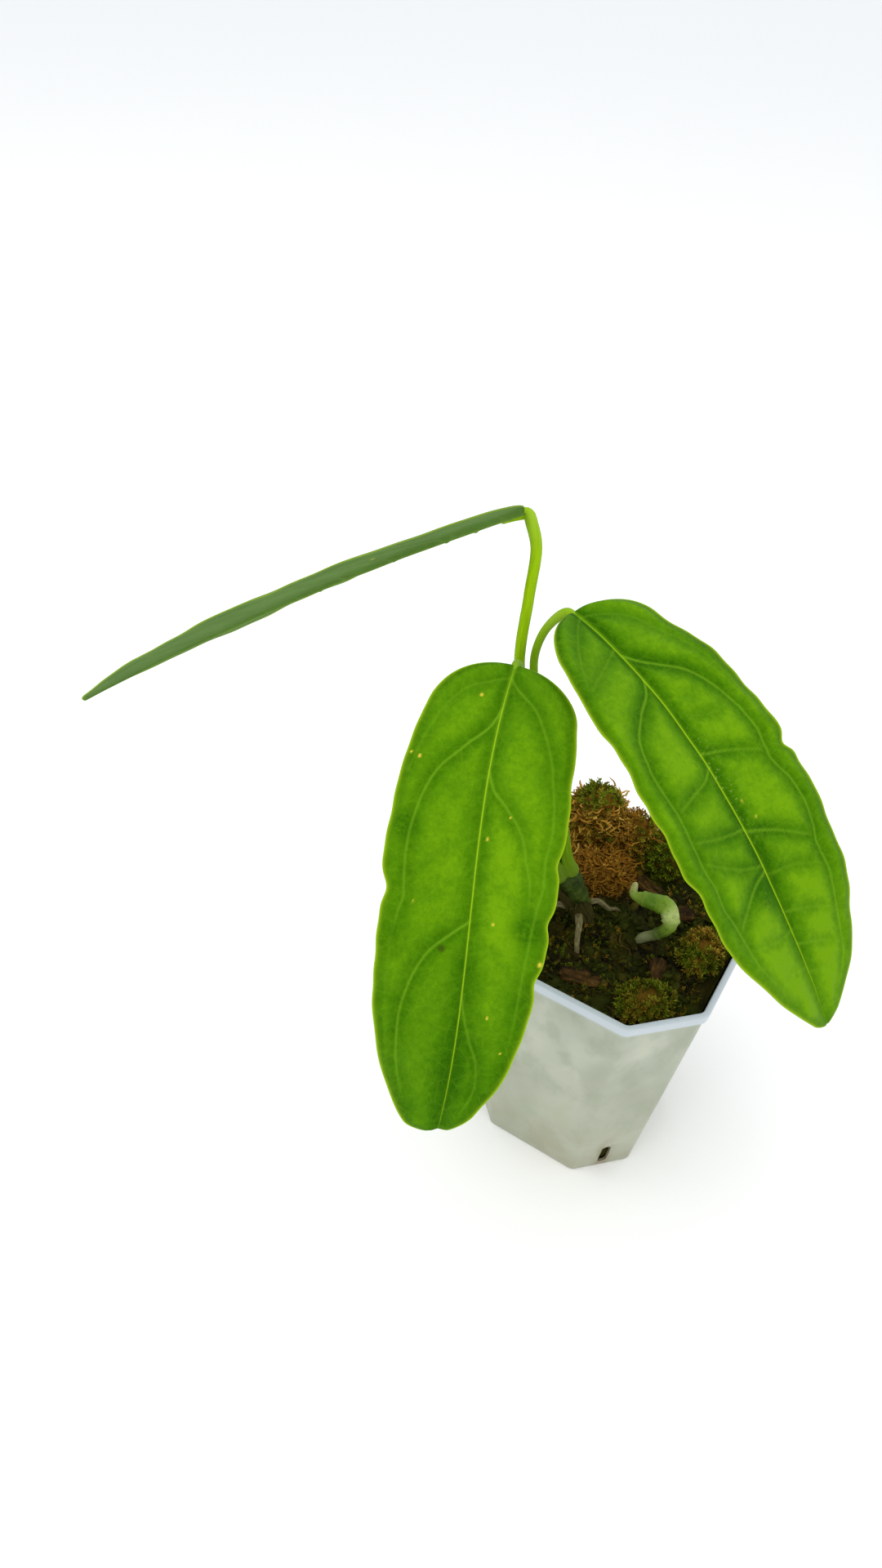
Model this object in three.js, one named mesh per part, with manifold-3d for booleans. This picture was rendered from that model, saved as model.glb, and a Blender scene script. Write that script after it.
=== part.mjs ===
import * as THREE from 'three';
import { mergeVertices } from 'three/addons/utils/BufferGeometryUtils.js';
import Module from 'manifold-3d';

// A young monstera in a small, deep, square nursery pot: three whole leaves on long stalks,
// a short stem, a curled new shoot and a mossy growing medium.
// Millimetres, +Z up. The origin is the centre of the pot's underside, and the pot's flats face X and Y.

// ---- pot ----
const rimWidth = 80;            // across the flats, over the lip band
const rimCorner = 17;           // leg of the cut corner at the rim
const baseWidth = 61;           // across the flats at the underside
const baseCorner = 14.5;        // leg of the cut corner at the underside
const potHeight = 100;
const wall = 1;
const floorThickness = 1.5;
const lipHeight = 4;
const lipProud = 0.8;           // how far the lip band stands out from the wall
const slotWidth = 3.2;          // upright drainage slot in each cut corner
const slotLow = 3;
const slotHigh = 15;
const drainLength = 11;         // radial drainage slots through the floor
const drainWidth = 3;
const drainRadius = 17;         // centre of each floor slot from the middle

// ---- growing medium and what lies on it ----
const headspace = 7;            // from the rim down to the medium
const gap = 0.3;                // left between pieces that touch
const mediumTop = potHeight - headspace;
const socketDepth = 16;         // how deep the stem's foot sits in the medium
const shootDepth = 5;

// ---- plant ----
// Places on the medium are shares of the opening's reach into its cut corners, so they follow the pot.
const stem = {
  at: [-0.17, -0.1], lean: [-7, -4], height: 19, footRadius: 3.2, collarRadius: 3.9, topRadius: 4.4,
};
const stalkRing = 2.4;          // stalk bases stand round the stem's top on this radius
const neckLength = 3;           // the stalk's last stretch, in line with the midrib
const bladeThickness = 0.7;

// Each leaf: the stalk's course from the stem's top, then the midrib's course from the blade's base.
// halfLeft and halfRight are [share of the length, half width], seen from above with the tip away.
// roll turns the blade about its midrib, fold lifts both halves, wave ripples the margin, and
// tipSkew lets one half run on past the other at the tip.
const leaves = [
  {
    name: 'front', turn: -100, stalkRadius: [1.7, 1.2, 1.3],
    stalk: [[-5, -12, 22], [-11.5, -17, 52], [-14.5, -17.6, 74], [-14.6, -17.6, 80.5]],
    midrib: [[-13.2, -22, 81.7], [-6, -54.6, 64.5], [11, -74.6, 36], [14.4, -93.6, 4.8]],
    halfLeft: [[0, 5.5], [0.05, 12.2], [0.2, 18], [0.4, 19], [0.6, 17.5], [0.8, 14], [0.93, 8.5], [1, 3.5]],
    halfRight: [[0, 5.5], [0.05, 13.2], [0.2, 19], [0.4, 20.8], [0.65, 20.4], [0.84, 17],
      [0.95, 11.4], [1, 6]],
    roll: 0, fold: 6, wave: 0.7, waves: 5, tipSkew: 0.4,
  },
  {
    name: 'right', turn: 20, stalkRadius: [1.7, 1.05, 1.15],
    stalk: [[-1, -4.5, 22], [-8, -8, 48], [-13.4, -9.6, 71], [-15, -7.4, 78], [-14.2, -4.8, 84.5]],
    midrib: [[-7.9, -4.9, 89.5], [29.2, -14.9, 82.7], [57.6, -27.7, 58.5], [80.2, -34.3, 28.6]],
    halfLeft: [[0, 4], [0.03, 13], [0.12, 19.5], [0.3, 22.2], [0.6, 22.4], [0.8, 18], [0.92, 11], [1, 1.2]],
    halfRight: [[0, 4], [0.03, 9.5], [0.12, 17.8], [0.3, 21.3], [0.6, 22.3], [0.78, 18.6],
      [0.92, 10], [1, 1.2]],
    roll: 0, fold: 6, wave: 0.9, waves: 6, tipSkew: 0,
  },
  {
    name: 'left', turn: 140, stalkRadius: [1.7, 1.35, 1.45],
    stalk: [[-6, -3, 22], [-12, -9, 48], [-16.5, -13, 76], [-20, -4.5, 89], [-23.4, 2.6, 98.6],
      [-25.8, 7, 103.2]],
    midrib: [[-29.7, 7.3, 104.4], [-58.1, -20.9, 90.3], [-91.3, -38.4, 68.9], [-120.1, -62.2, 49.4]],
    halfLeft: [[0, 4], [0.04, 12], [0.15, 18], [0.35, 20.5], [0.6, 20], [0.8, 16], [0.93, 9], [1, 1.5]],
    halfRight: [[0, 4], [0.04, 12], [0.15, 18], [0.35, 20.5], [0.6, 20], [0.8, 16], [0.93, 9], [1, 1.5]],
    roll: 35, fold: 4, wave: 0.5, waves: 5, tipSkew: 0,
  },
];

// The curled shoot comes up beside the stem, bends over and hooks back. Its course is from its own foot.
const shoot = {
  at: [0.285, -0.07], radius: 2.2, tipRadius: 1.4,
  course: [[0, 0, 1], [4, 1, 5], [6.5, 2.5, 9], [4, 5, 12.5], [-2, 4.5, 13], [-7, 4.2, 12.6], [-8.5, 7, 12]],
};

// Pale root stubs that run out from the stem's foot: direction, height where they leave it, and reach
// as a share of the opening's reach.
const roots = [
  { turn: -62, rise: 4.6, reach: 0.24, radius: 1.1 },
  { turn: 40, rise: 5.2, reach: 0.21, radius: 0.9 },
  { turn: 212, rise: 4.4, reach: 0.21, radius: 1 },
];

// Moss cushions: place and half sizes as shares of the opening's reach, the direction they lie along
// in degrees, and their height.
const mossCushions = [
  { name: 'moss_rear', at: [-0.455, 0.635], half: [0.26, 0.19], turn: 45, height: 25 },
  { name: 'moss_rear_right', at: [0.07, 0.68], half: [0.215, 0.155], turn: 0, height: 12 },
  { name: 'moss_dry', at: [-0.21, 0.27], half: [0.215, 0.155], turn: 45, height: 9 },
  { name: 'moss_right', at: [0.7, 0.04], half: [0.215, 0.145], turn: 90, height: 8 },
  { name: 'moss_front_corner', at: [0.53, -0.57], half: [0.215, 0.155], turn: 45, height: 6 },
  { name: 'moss_front_left', at: [-0.5, -0.59], half: [0.215, 0.155], turn: -45, height: 7 },
  { name: 'moss_left', at: [-0.7, 0.03], half: [0.215, 0.145], turn: 90, height: 8 },
];

// Bark chips lying on the medium: place as above, size (length, width, thickness), turn and tilt in degrees.
const chips = [
  { at: [0.42, 0.31], size: [10, 5, 2.6], turn: 40, tilt: 8 },
  { at: [0.12, 0.42], size: [10, 5, 3], turn: -20, tilt: 6 },
  { at: [0.06, -0.62], size: [12, 5, 2.6], turn: 15, tilt: 6 },
  { at: [0.49, -0.26], size: [9, 4.6, 2.4], turn: 100, tilt: 5 },
  { at: [-0.47, 0.05], size: [8, 4, 2.2], turn: 75, tilt: 6 },
];

const wasm = await Module();
wasm.setup();

const potPlastic = { color: 0xb4bab0, roughness: 0.45 };
const mediumBrown = { color: 0x3a2814, roughness: 0.95 };
const leafGreen = { color: 0x549010, roughness: 0.42 };
const stalkGreen = { color: 0x88b014, roughness: 0.45 };
const stemGreen = { color: 0x6f8a2a, roughness: 0.6 };
const shootGreen = { color: 0xa4b866, roughness: 0.5 };
const rootTan = { color: 0xa89c70, roughness: 0.8 };
const mossGreen = { color: 0x4c5a12, roughness: 0.95 };
const chipBrown = { color: 0x6e4520, roughness: 0.9 };

const group = new THREE.Group();

function addMesh(name, geometry, look) {
  const mesh = new THREE.Mesh(geometry, new THREE.MeshStandardMaterial({ ...look, metalness: 0 }));
  mesh.name = name;
  group.add(mesh);
}

// ---- joining and cutting ----

function toSolid(geometry) {
  const bare = geometry.clone();
  bare.deleteAttribute('normal');
  bare.deleteAttribute('uv');
  const merged = mergeVertices(bare, 1e-3);
  const vertProperties = Float32Array.from(merged.attributes.position.array);
  const triVerts = Uint32Array.from(merged.index.array);
  return new wasm.Manifold(new wasm.Mesh({ numProp: 3, vertProperties, triVerts }));
}

function toGeometry(solid) {
  const { vertProperties, triVerts } = solid.getMesh();
  const geometry = new THREE.BufferGeometry();
  geometry.setAttribute('position', new THREE.BufferAttribute(vertProperties, 3));
  geometry.setIndex(new THREE.BufferAttribute(triVerts, 1));
  geometry.computeVertexNormals();
  return geometry;
}

// ---- pot ----

// The size of the pot's square with cut corners at a height, moved in from the wall's outside by inset.
// A cut corner's leg shrinks by (2 - root 2) times the inset, so the wall is as thick there as on the flats.
function potSection(z, inset) {
  const share = z / potHeight;
  const wallRimWidth = rimWidth - 2 * lipProud;
  const wallRimCorner = rimCorner - lipProud * (2 - Math.SQRT2);
  const half = THREE.MathUtils.lerp(baseWidth, wallRimWidth, share) / 2 - inset;
  const corner = THREE.MathUtils.lerp(baseCorner, wallRimCorner, share) - inset * (2 - Math.SQRT2);
  return { half, edge: half - corner };
}

// A straight-sided block between two such sections: the lower one extruded, its top points moved out.
function taperedBlock(zLow, zHigh, inset) {
  const low = potSection(zLow, inset);
  const high = potSection(zHigh, inset);
  const { half, edge } = low;
  const corners = [[edge, -half], [half, -edge], [half, edge], [edge, half],
    [-edge, half], [-half, edge], [-half, -edge], [-edge, -half]];
  const shape = new THREE.Shape(corners.map(([x, y]) => new THREE.Vector2(x, y)));
  const geometry = new THREE.ExtrudeGeometry(shape, { depth: zHigh - zLow, bevelEnabled: false });
  const position = geometry.attributes.position;
  const middle = (half + edge) / 2;
  const moved = (value) => Math.sign(value) * (Math.abs(value) > middle ? high.half : high.edge);
  for (let i = 0; i < position.count; i += 1) {
    if (position.getZ(i) > (zHigh - zLow) / 2) {
      position.setX(i, moved(position.getX(i)));
      position.setY(i, moved(position.getY(i)));
    }
  }
  geometry.translate(0, 0, zLow);
  return geometry;
}

function makePot() {
  let solid = toSolid(taperedBlock(0, potHeight, 0));
  solid = solid.add(toSolid(taperedBlock(potHeight - lipHeight, potHeight, -lipProud)));
  solid = solid.subtract(toSolid(taperedBlock(floorThickness, potHeight + 1, wall)));
  const slotHeight = slotHigh - slotLow;
  const { half, edge } = potSection((slotLow + slotHigh) / 2, wall / 2);
  const cornerDistance = (half + edge) / Math.SQRT2;
  for (let corner = 0; corner < 4; corner += 1) {
    const turn = (corner + 0.5) * Math.PI / 2;
    const cutter = new THREE.BoxGeometry(8, slotWidth, slotHeight);
    cutter.translate(cornerDistance, 0, (slotLow + slotHigh) / 2);
    cutter.rotateZ(turn);
    solid = solid.subtract(toSolid(cutter));
    const drain = new THREE.BoxGeometry(drainLength, drainWidth, floorThickness * 4);
    drain.translate(drainRadius, 0, 0);
    drain.rotateZ(turn - Math.PI / 4);
    solid = solid.subtract(toSolid(drain));
  }
  return toGeometry(solid);
}

// ---- limbs ----

const toVector = ([x, y, z]) => new THREE.Vector3(x, y, z);

function levelDirection(degrees) {
  const angle = THREE.MathUtils.degToRad(degrees);
  return new THREE.Vector3(Math.cos(angle), Math.sin(angle), 0);
}

// A round limb along a curve: a closed cylinder whose rings are set square to the curve.
// The radius goes from start to middle to end as a smooth curve through the three.
function limb(curve, radii, steps, sides) {
  const stations = radii.map((radius, i) => new THREE.Vector2(i / (radii.length - 1), radius));
  const radiusCurve = new THREE.SplineCurve(stations);
  const geometry = new THREE.CylinderGeometry(1, 1, 1, sides, steps);
  const frames = curve.computeFrenetFrames(steps, false);
  const position = geometry.attributes.position;
  for (let i = 0; i < position.count; i += 1) {
    const share = 0.5 - position.getY(i);
    const step = Math.round(share * steps);
    const radius = radiusCurve.getPoint(share).y;
    const point = curve.getPointAt(share)
      .addScaledVector(frames.normals[step], position.getX(i) * radius)
      .addScaledVector(frames.binormals[step], position.getZ(i) * radius);
    position.setXYZ(i, point.x, point.y, point.z);
  }
  geometry.deleteAttribute('normal');
  return geometry;
}

const spline = (points) => new THREE.CatmullRomCurve3(points, false, 'centripetal');

// ---- leaf blades ----

// A smooth value through [share, value] stations.
function throughStations(stations, share) {
  const last = stations.length - 1;
  let i = 0;
  while (i < last - 1 && share > stations[i + 1][0]) i += 1;
  const slope = (a, b) => (stations[b][1] - stations[a][1]) / (stations[b][0] - stations[a][0]);
  const [x0, y0] = stations[i];
  const [x1, y1] = stations[i + 1];
  const width = x1 - x0;
  const here = slope(i, i + 1);
  const startSlope = i > 0 ? (slope(i - 1, i) + here) / 2 : here;
  const endSlope = i + 1 < last ? (here + slope(i + 1, i + 2)) / 2 : here;
  const u = (share - x0) / width;
  const bend = u * (1 - u) * ((startSlope - here) * (1 - u) - (endSlope - here) * u);
  return y0 + (y1 - y0) * u + bend * width;
}

const midribOf = (leaf) => new THREE.CubicBezierCurve3(
  ...leaf.midrib.map((point) => toVector(point).add(stemTop)));

// A blade: a thin box with its width across and its length along the midrib. Across the midrib the
// surface runs level, turned by roll, and rises by fold on both sides. The margin ripples up and down.
function makeBlade(leaf) {
  const midrib = midribOf(leaf);
  const geometry = new THREE.BoxGeometry(2, 1, bladeThickness, 8, 22, 1);
  const position = geometry.attributes.position;
  const up = new THREE.Vector3(0, 0, 1);
  const fold = THREE.MathUtils.degToRad(leaf.fold);
  const roll = THREE.MathUtils.degToRad(leaf.roll);
  for (let i = 0; i < position.count; i += 1) {
    const side = position.getX(i);
    const share = (1 - Math.cos((position.getY(i) + 0.5) * Math.PI)) / 2;
    const tangent = midrib.getTangent(share);
    const sideways = new THREE.Vector3().crossVectors(tangent, up).normalize().applyAxisAngle(tangent, roll);
    const normal = new THREE.Vector3().crossVectors(sideways, tangent);
    const half = side * throughStations(side < 0 ? leaf.halfLeft : leaf.halfRight, share);
    const ripple = leaf.wave * side * side * Math.sin(share * leaf.waves * 2 * Math.PI + side);
    const lift = Math.abs(half) * Math.sin(fold) + ripple * Math.sin(share * Math.PI);
    const point = midrib.getPoint(share)
      .addScaledVector(sideways, half * Math.cos(fold))
      .addScaledVector(tangent, half * leaf.tipSkew * share ** 8)
      .addScaledVector(normal, lift + position.getZ(i));
    position.setXYZ(i, point.x, point.y, point.z);
  }
  geometry.deleteAttribute('normal');
  return geometry;
}

// ---- stem, shoot and roots ----

const openingSection = potSection(mediumTop, wall);
const opening = (openingSection.half + openingSection.edge) / Math.SQRT2;
const placeAt = ([x, y], z) => new THREE.Vector3(x * opening, y * opening, z);
const stemFoot = placeAt(stem.at, mediumTop);
const stemTop = new THREE.Vector3(...stem.lean, stem.height).add(stemFoot);

function stemCourse(grow) {
  const low = stemFoot.clone().setZ(mediumTop - socketDepth - grow);
  return spline([low, stemFoot, stemTop]);
}

function makeStem(grow) {
  const radii = [stem.footRadius, stem.collarRadius, stem.topRadius].map((radius) => radius + grow);
  return limb(stemCourse(grow), radii, 8, 12);
}

// The three stalks stand in a ring on the stem's top, square to the way the stem points there.
function makeStalk(leaf) {
  const heading = stemCourse(0).getTangent(1);
  const outward = levelDirection(leaf.turn).projectOnPlane(heading).setLength(stalkRing);
  const base = stemTop.clone().add(outward).addScaledVector(heading, gap * 1.5);
  const rise = base.clone().addScaledVector(heading, 4);
  const midrib = midribOf(leaf);
  const along = midrib.getTangent(0);
  const neck = midrib.getPoint(0).addScaledVector(along, -neckLength);
  const end = midrib.getPoint(0).addScaledVector(along, -gap * 1.5);
  const middle = leaf.stalk.map((point) => toVector(point).add(stemTop));
  return limb(spline([base, rise, ...middle, neck, end]), leaf.stalkRadius, 24, 8);
}

function makeShoot(grow) {
  const foot = placeAt(shoot.at, mediumTop);
  const points = shoot.course.map((point) => toVector(point).add(foot));
  points.unshift(foot.clone().setZ(mediumTop - shootDepth - grow));
  const radii = [shoot.radius, shoot.radius, shoot.tipRadius].map((radius) => radius + grow);
  return limb(spline(points), radii, 24, 8);
}

// A root starts just clear of the stem's side and runs down and out to lie on the medium.
function makeRoot({ turn, rise, reach, radius }) {
  const outward = levelDirection(turn);
  const start = stemFoot.clone().lerp(stemTop, rise / stem.height)
    .addScaledVector(outward, stem.topRadius + radius + gap);
  const lying = stemFoot.z + radius + gap;
  const middle = start.clone().addScaledVector(outward, reach * opening * 0.45).setZ((start.z + lying) / 2);
  const tip = start.clone().addScaledVector(outward, reach * opening).setZ(lying);
  return limb(spline([start, middle, tip]), [radius, radius * 0.9, radius * 0.5], 8, 6);
}

// ---- medium and what lies on it ----

function makeMedium() {
  let solid = toSolid(taperedBlock(floorThickness + gap, mediumTop, wall + gap));
  solid = solid.subtract(toSolid(makeStem(gap)));
  solid = solid.subtract(toSolid(makeShoot(gap)));
  return toGeometry(solid);
}

// A low cushion: a sphere cut off just below its middle, so that it stands on a flat foot.
function makeCushion({ at, half, turn, height }) {
  const cutBelow = 0.12;
  const geometry = new THREE.SphereGeometry(1, 14, 8);
  const position = geometry.attributes.position;
  for (let i = 0; i < position.count; i += 1) {
    position.setY(i, Math.max(position.getY(i), -cutBelow) + cutBelow);
  }
  geometry.scale(half[0] * opening, height / (1 + cutBelow), half[1] * opening);
  geometry.rotateX(Math.PI / 2);
  geometry.rotateZ(THREE.MathUtils.degToRad(turn));
  const place = placeAt(at, mediumTop + gap);
  geometry.translate(place.x, place.y, place.z);
  return geometry;
}

function makeChip({ at, size, turn, tilt }) {
  const [length, width, thickness] = size;
  const geometry = new THREE.CylinderGeometry(width / 2, width / 2, thickness, 7, 1);
  geometry.rotateX(Math.PI / 2);
  geometry.scale(length / width, 1, 1);
  geometry.rotateX(THREE.MathUtils.degToRad(tilt));
  geometry.rotateZ(THREE.MathUtils.degToRad(turn));
  geometry.computeBoundingBox();
  const place = placeAt(at, mediumTop + gap - geometry.boundingBox.min.z);
  geometry.translate(place.x, place.y, place.z);
  return geometry;
}

addMesh('pot', makePot(), potPlastic);
addMesh('growing_medium', makeMedium(), mediumBrown);
addMesh('stem', makeStem(0), stemGreen);
addMesh('young_shoot', makeShoot(0), shootGreen);
leaves.forEach((leaf) => {
  addMesh(`petiole_${leaf.name}`, makeStalk(leaf), stalkGreen);
  addMesh(`leaf_${leaf.name}`, makeBlade(leaf), leafGreen);
});
roots.forEach((root, i) => addMesh(`root_${i + 1}`, makeRoot(root), rootTan));
mossCushions.forEach((cushion) => addMesh(cushion.name, makeCushion(cushion), mossGreen));
chips.forEach((chip, i) => addMesh(`bark_chip_${i + 1}`, makeChip(chip), chipBrown));

export default group;
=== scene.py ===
import math

import bpy
import numpy as np
from mathutils import Matrix, Vector


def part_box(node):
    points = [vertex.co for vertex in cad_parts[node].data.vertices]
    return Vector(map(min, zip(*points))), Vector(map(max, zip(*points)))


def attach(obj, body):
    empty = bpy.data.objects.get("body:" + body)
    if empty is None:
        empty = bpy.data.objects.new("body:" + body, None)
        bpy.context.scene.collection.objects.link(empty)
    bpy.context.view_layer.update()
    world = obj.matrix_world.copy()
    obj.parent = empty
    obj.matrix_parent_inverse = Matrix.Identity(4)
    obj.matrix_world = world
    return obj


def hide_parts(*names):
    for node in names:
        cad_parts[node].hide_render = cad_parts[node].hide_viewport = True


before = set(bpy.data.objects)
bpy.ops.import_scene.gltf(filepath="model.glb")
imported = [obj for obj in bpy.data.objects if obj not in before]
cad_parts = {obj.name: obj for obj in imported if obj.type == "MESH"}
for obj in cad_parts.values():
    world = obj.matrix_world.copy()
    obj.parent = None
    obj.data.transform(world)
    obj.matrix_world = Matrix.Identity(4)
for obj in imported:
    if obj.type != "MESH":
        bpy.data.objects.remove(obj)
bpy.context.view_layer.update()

# A young monstera with three whole leaves in a small, deep, square nursery pot.
# Lengths below are in millimetres where a name or note says so; meshes are made in metres.

mm = 0.001
rng = np.random.default_rng(41)
lattice = rng.random((64, 64, 64))


def boxSize(node):
    # A node's size along X, Y and Z in millimetres.
    return [round((far - near) / mm, 2) for near, far in zip(*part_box(node))]


# small tools for shapes

def unit(vectors):
    # The vectors divided by their lengths.
    return vectors / np.linalg.norm(vectors, axis=-1, keepdims=True)


def ease(value, low, high):
    # 0 below low, 1 above high, and a smooth step between.
    share = np.clip((value - low) / (high - low), 0, 1)
    return share * share * (3 - 2 * share)


def swell(points, size):
    # Smooth noise from -1 to 1 with lumps about size across: random values on a cubic lattice,
    # blended between the eight corners round each point.
    place = np.asarray(points) / size
    cell = np.floor(place).astype(int)
    part = place - cell
    part = part * part * (3 - 2 * part)
    total = 0
    for dx in (0, 1):
        for dy in (0, 1):
            for dz in (0, 1):
                weight = np.where(dx, part[..., 0], 1 - part[..., 0])
                weight = weight * np.where(dy, part[..., 1], 1 - part[..., 1])
                weight = weight * np.where(dz, part[..., 2], 1 - part[..., 2])
                index = (cell + (dx, dy, dz)) & 63
                total = total + weight * lattice[index[..., 0], index[..., 1], index[..., 2]]
    return total * 2 - 1


def roughness(points, size, octaves):
    # Swells of ever smaller size and height, added up.
    return sum(swell(points + 7.3 * size * k, size / 2 ** k) / 2 ** k for k in range(octaves))


def courseThrough(points, shares):
    # A smooth curve through the points: cubic stretches whose end slopes weigh the neighbouring
    # points by the root of their distances. Returned at shares of the curve's length.
    p = np.asarray(points, float)
    p = np.vstack([2 * p[0] - p[1], p, 2 * p[-1] - p[-2]])
    d = np.sqrt(np.linalg.norm(np.diff(p, axis=0), axis=1))[:, None]
    before, here, after = d[:-2], d[1:-1], d[2:]
    p0, p1, p2, p3 = p[:-3], p[1:-2], p[2:-1], p[3:]
    startSlope = here * ((p1 - p0) / before - (p2 - p0) / (before + here) + (p2 - p1) / here)
    endSlope = here * ((p2 - p1) / here - (p3 - p1) / (here + after) + (p3 - p2) / after)
    u = np.linspace(0, 1, 32)[None, :, None]
    p1, p2, startSlope, endSlope = (a[:, None] for a in (p1, p2, startSlope, endSlope))
    line = (p1 * (2 * u ** 3 - 3 * u ** 2 + 1) + p2 * (3 * u ** 2 - 2 * u ** 3)
            + startSlope * (u ** 3 - 2 * u ** 2 + u) + endSlope * (u ** 3 - u ** 2))
    line = line.reshape(-1, line.shape[-1])
    run = lengthAlong(line)
    return np.stack([np.interp(np.asarray(shares) * run[-1], run, c) for c in line.T], -1)


def throughStations(stations, shares):
    # A smooth value through (share, value) stations: cubic stretches whose slope at a station is
    # the mean of the slopes on its two sides.
    x, y = np.array(stations, float).T
    steps = np.diff(y) / np.diff(x)
    slopes = np.concatenate([steps[:1], (steps[1:] + steps[:-1]) / 2, steps[-1:]])
    i = np.clip(np.searchsorted(x, shares, side="right") - 1, 0, len(x) - 2)
    width = x[i + 1] - x[i]
    u = (shares - x[i]) / width
    return (y[i] * (2 * u ** 3 - 3 * u ** 2 + 1) + y[i + 1] * (3 * u ** 2 - 2 * u ** 3)
            + width * (slopes[i] * (u ** 3 - 2 * u ** 2 + u) + slopes[i + 1] * (u ** 3 - u ** 2)))


def crowdedEnds(count):
    # Shares from 0 to 1 that lie closer together towards both ends, leaving out the ends themselves.
    return (1 - np.cos(np.pi * (np.arange(count) + 0.5) / count)) / 2


def carriedFrames(course):
    # The direction along a course and two directions square to it, carried on without twisting.
    along = unit(np.gradient(course, axis=0))
    side = np.empty_like(course)
    side[0] = unit(np.cross(along[0], (0.9, -0.3, 0.35)))
    for i in range(1, len(course)):
        side[i] = unit(side[i - 1] - along[i] * (side[i - 1] @ along[i]))
    return along, side, np.cross(along, side)


def limbCourse(points, stations):
    # A course through the points, the length run at each station, and that as a share of the whole.
    course = courseThrough(points, crowdedEnds(stations))
    run = lengthAlong(course)
    return course, run, run / run[-1]


def limbRings(course, radii, sides, section=1.0):
    # Rings round a course: at each station a circle of that radius, times the section's own shape.
    along, side, over = carriedFrames(course)
    turn = roundTurn(sides)
    reach = (radii[:, None] * section)[..., None] * np.ones((1, sides, 1))
    return course[:, None] + reach * (np.cos(turn)[None, :, None] * side[:, None]
                                      + np.sin(turn)[None, :, None] * over[:, None])


def roundedEnds(radii, run):
    # The radii, drawn in to a dome at both ends over about a radius of length.
    for distance in (run, run[-1] - run):
        share = np.clip(distance / np.maximum(radii, 1e-6), 0, 1)
        radii = radii * np.sqrt(np.clip(1 - (1 - share) ** 2, 0.002, 1))
    return radii


def lengthAlong(course):
    # How far along a course each of its stations lies.
    return np.concatenate([[0], np.cumsum(np.linalg.norm(np.diff(course, axis=0), axis=1))])


def roundTurn(count):
    # Evenly spaced angles once round, in radians.
    return np.linspace(0, 2 * np.pi, count, endpoint=False)


def aboutUpright(turn):
    # Rows that turn points written as rows about the upright, by an angle in radians.
    return np.array([[math.cos(turn), math.sin(turn), 0], [-math.sin(turn), math.cos(turn), 0], [0, 0, 1]])


def levelWay(turn):
    # The level direction at an angle in degrees.
    return np.array([math.cos(math.radians(turn)), math.sin(math.radians(turn)), 0])


def skin(rings, **fields):
    # A closed skin over rings of points: four-sided faces between neighbouring rings, and a fan from
    # the middle of the first and of the last ring. Fields are values per ring point.
    rows, cols = rings.shape[:2]
    points = np.vstack([rings[:1].mean(1), rings.reshape(-1, 3), rings[-1:].mean(1)])
    here = np.arange(rows * cols).reshape(rows, cols) + 1
    beside = np.roll(here, -1, axis=1)
    quads = np.stack([here[:-1], beside[:-1], beside[1:], here[1:]], -1).reshape(-1, 4)
    first = np.stack([np.zeros(cols, int), beside[0], here[0]], -1)
    last = np.stack([np.full(cols, rows * cols + 1), here[-1], beside[-1]], -1)
    spread = {}
    for name, values in fields.items():
        values = np.broadcast_to(values, (rows, cols) + np.shape(values)[2:])
        spread[name] = np.concatenate([values[:1].mean(1), values.reshape((-1,) + values.shape[2:]),
                                       values[-1:].mean(1)])
    return outward({"points": points, "faces": [quads, np.vstack([first, last])], "fields": spread})


def outward(shape):
    # Turns a closed shape's faces round if the space they enclose comes out negative.
    p = shape["points"]
    volume = sum(np.einsum("ij,ij->", p[f[:, 0]], np.cross(p[f[:, k]], p[f[:, k + 1]]))
                 for f in shape["faces"] for k in range(1, f.shape[1] - 1))
    if volume < 0:
        shape["faces"] = [f[:, ::-1] for f in shape["faces"]]
    return shape


def repeated(faces, points, perCopy):
    # Many like shapes as one: a row of points for each copy, and the first copy's faces.
    count, each = points.shape[:2]
    shift = each * np.arange(count)[:, None, None]
    faces = [(f[None] + shift).reshape(-1, f.shape[1]) for f in faces]
    fields = {name: np.repeat(v, each) for name, v in perCopy.items()}
    return {"points": points.reshape(-1, 3), "faces": faces, "fields": fields}


def copies(shape, spots, frames, sizes, **perCopy):
    # Copies of a small shape: each is scaled, turned so its axes lie along its frame's rows, and moved.
    turned = np.einsum("mk,nkj->nmj", shape["points"], frames)
    many = repeated(shape["faces"], spots[:, None] + sizes[:, None, None] * turned, perCopy)
    own = {name: np.tile(v, len(spots)) for name, v in shape["fields"].items()}
    return {**many, "fields": {**own, **many["fields"]}}


def joined(*shapes):
    # Several shapes as one, each one's faces counted on from the last.
    shift, faces = 0, []
    for shape in shapes:
        faces += [f + shift for f in shape["faces"]]
        shift += len(shape["points"])
    fields = {name: np.concatenate([s["fields"][name] for s in shapes]) for name in shapes[0]["fields"]}
    return {"points": np.vstack([s["points"] for s in shapes]), "faces": faces, "fields": fields}


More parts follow.
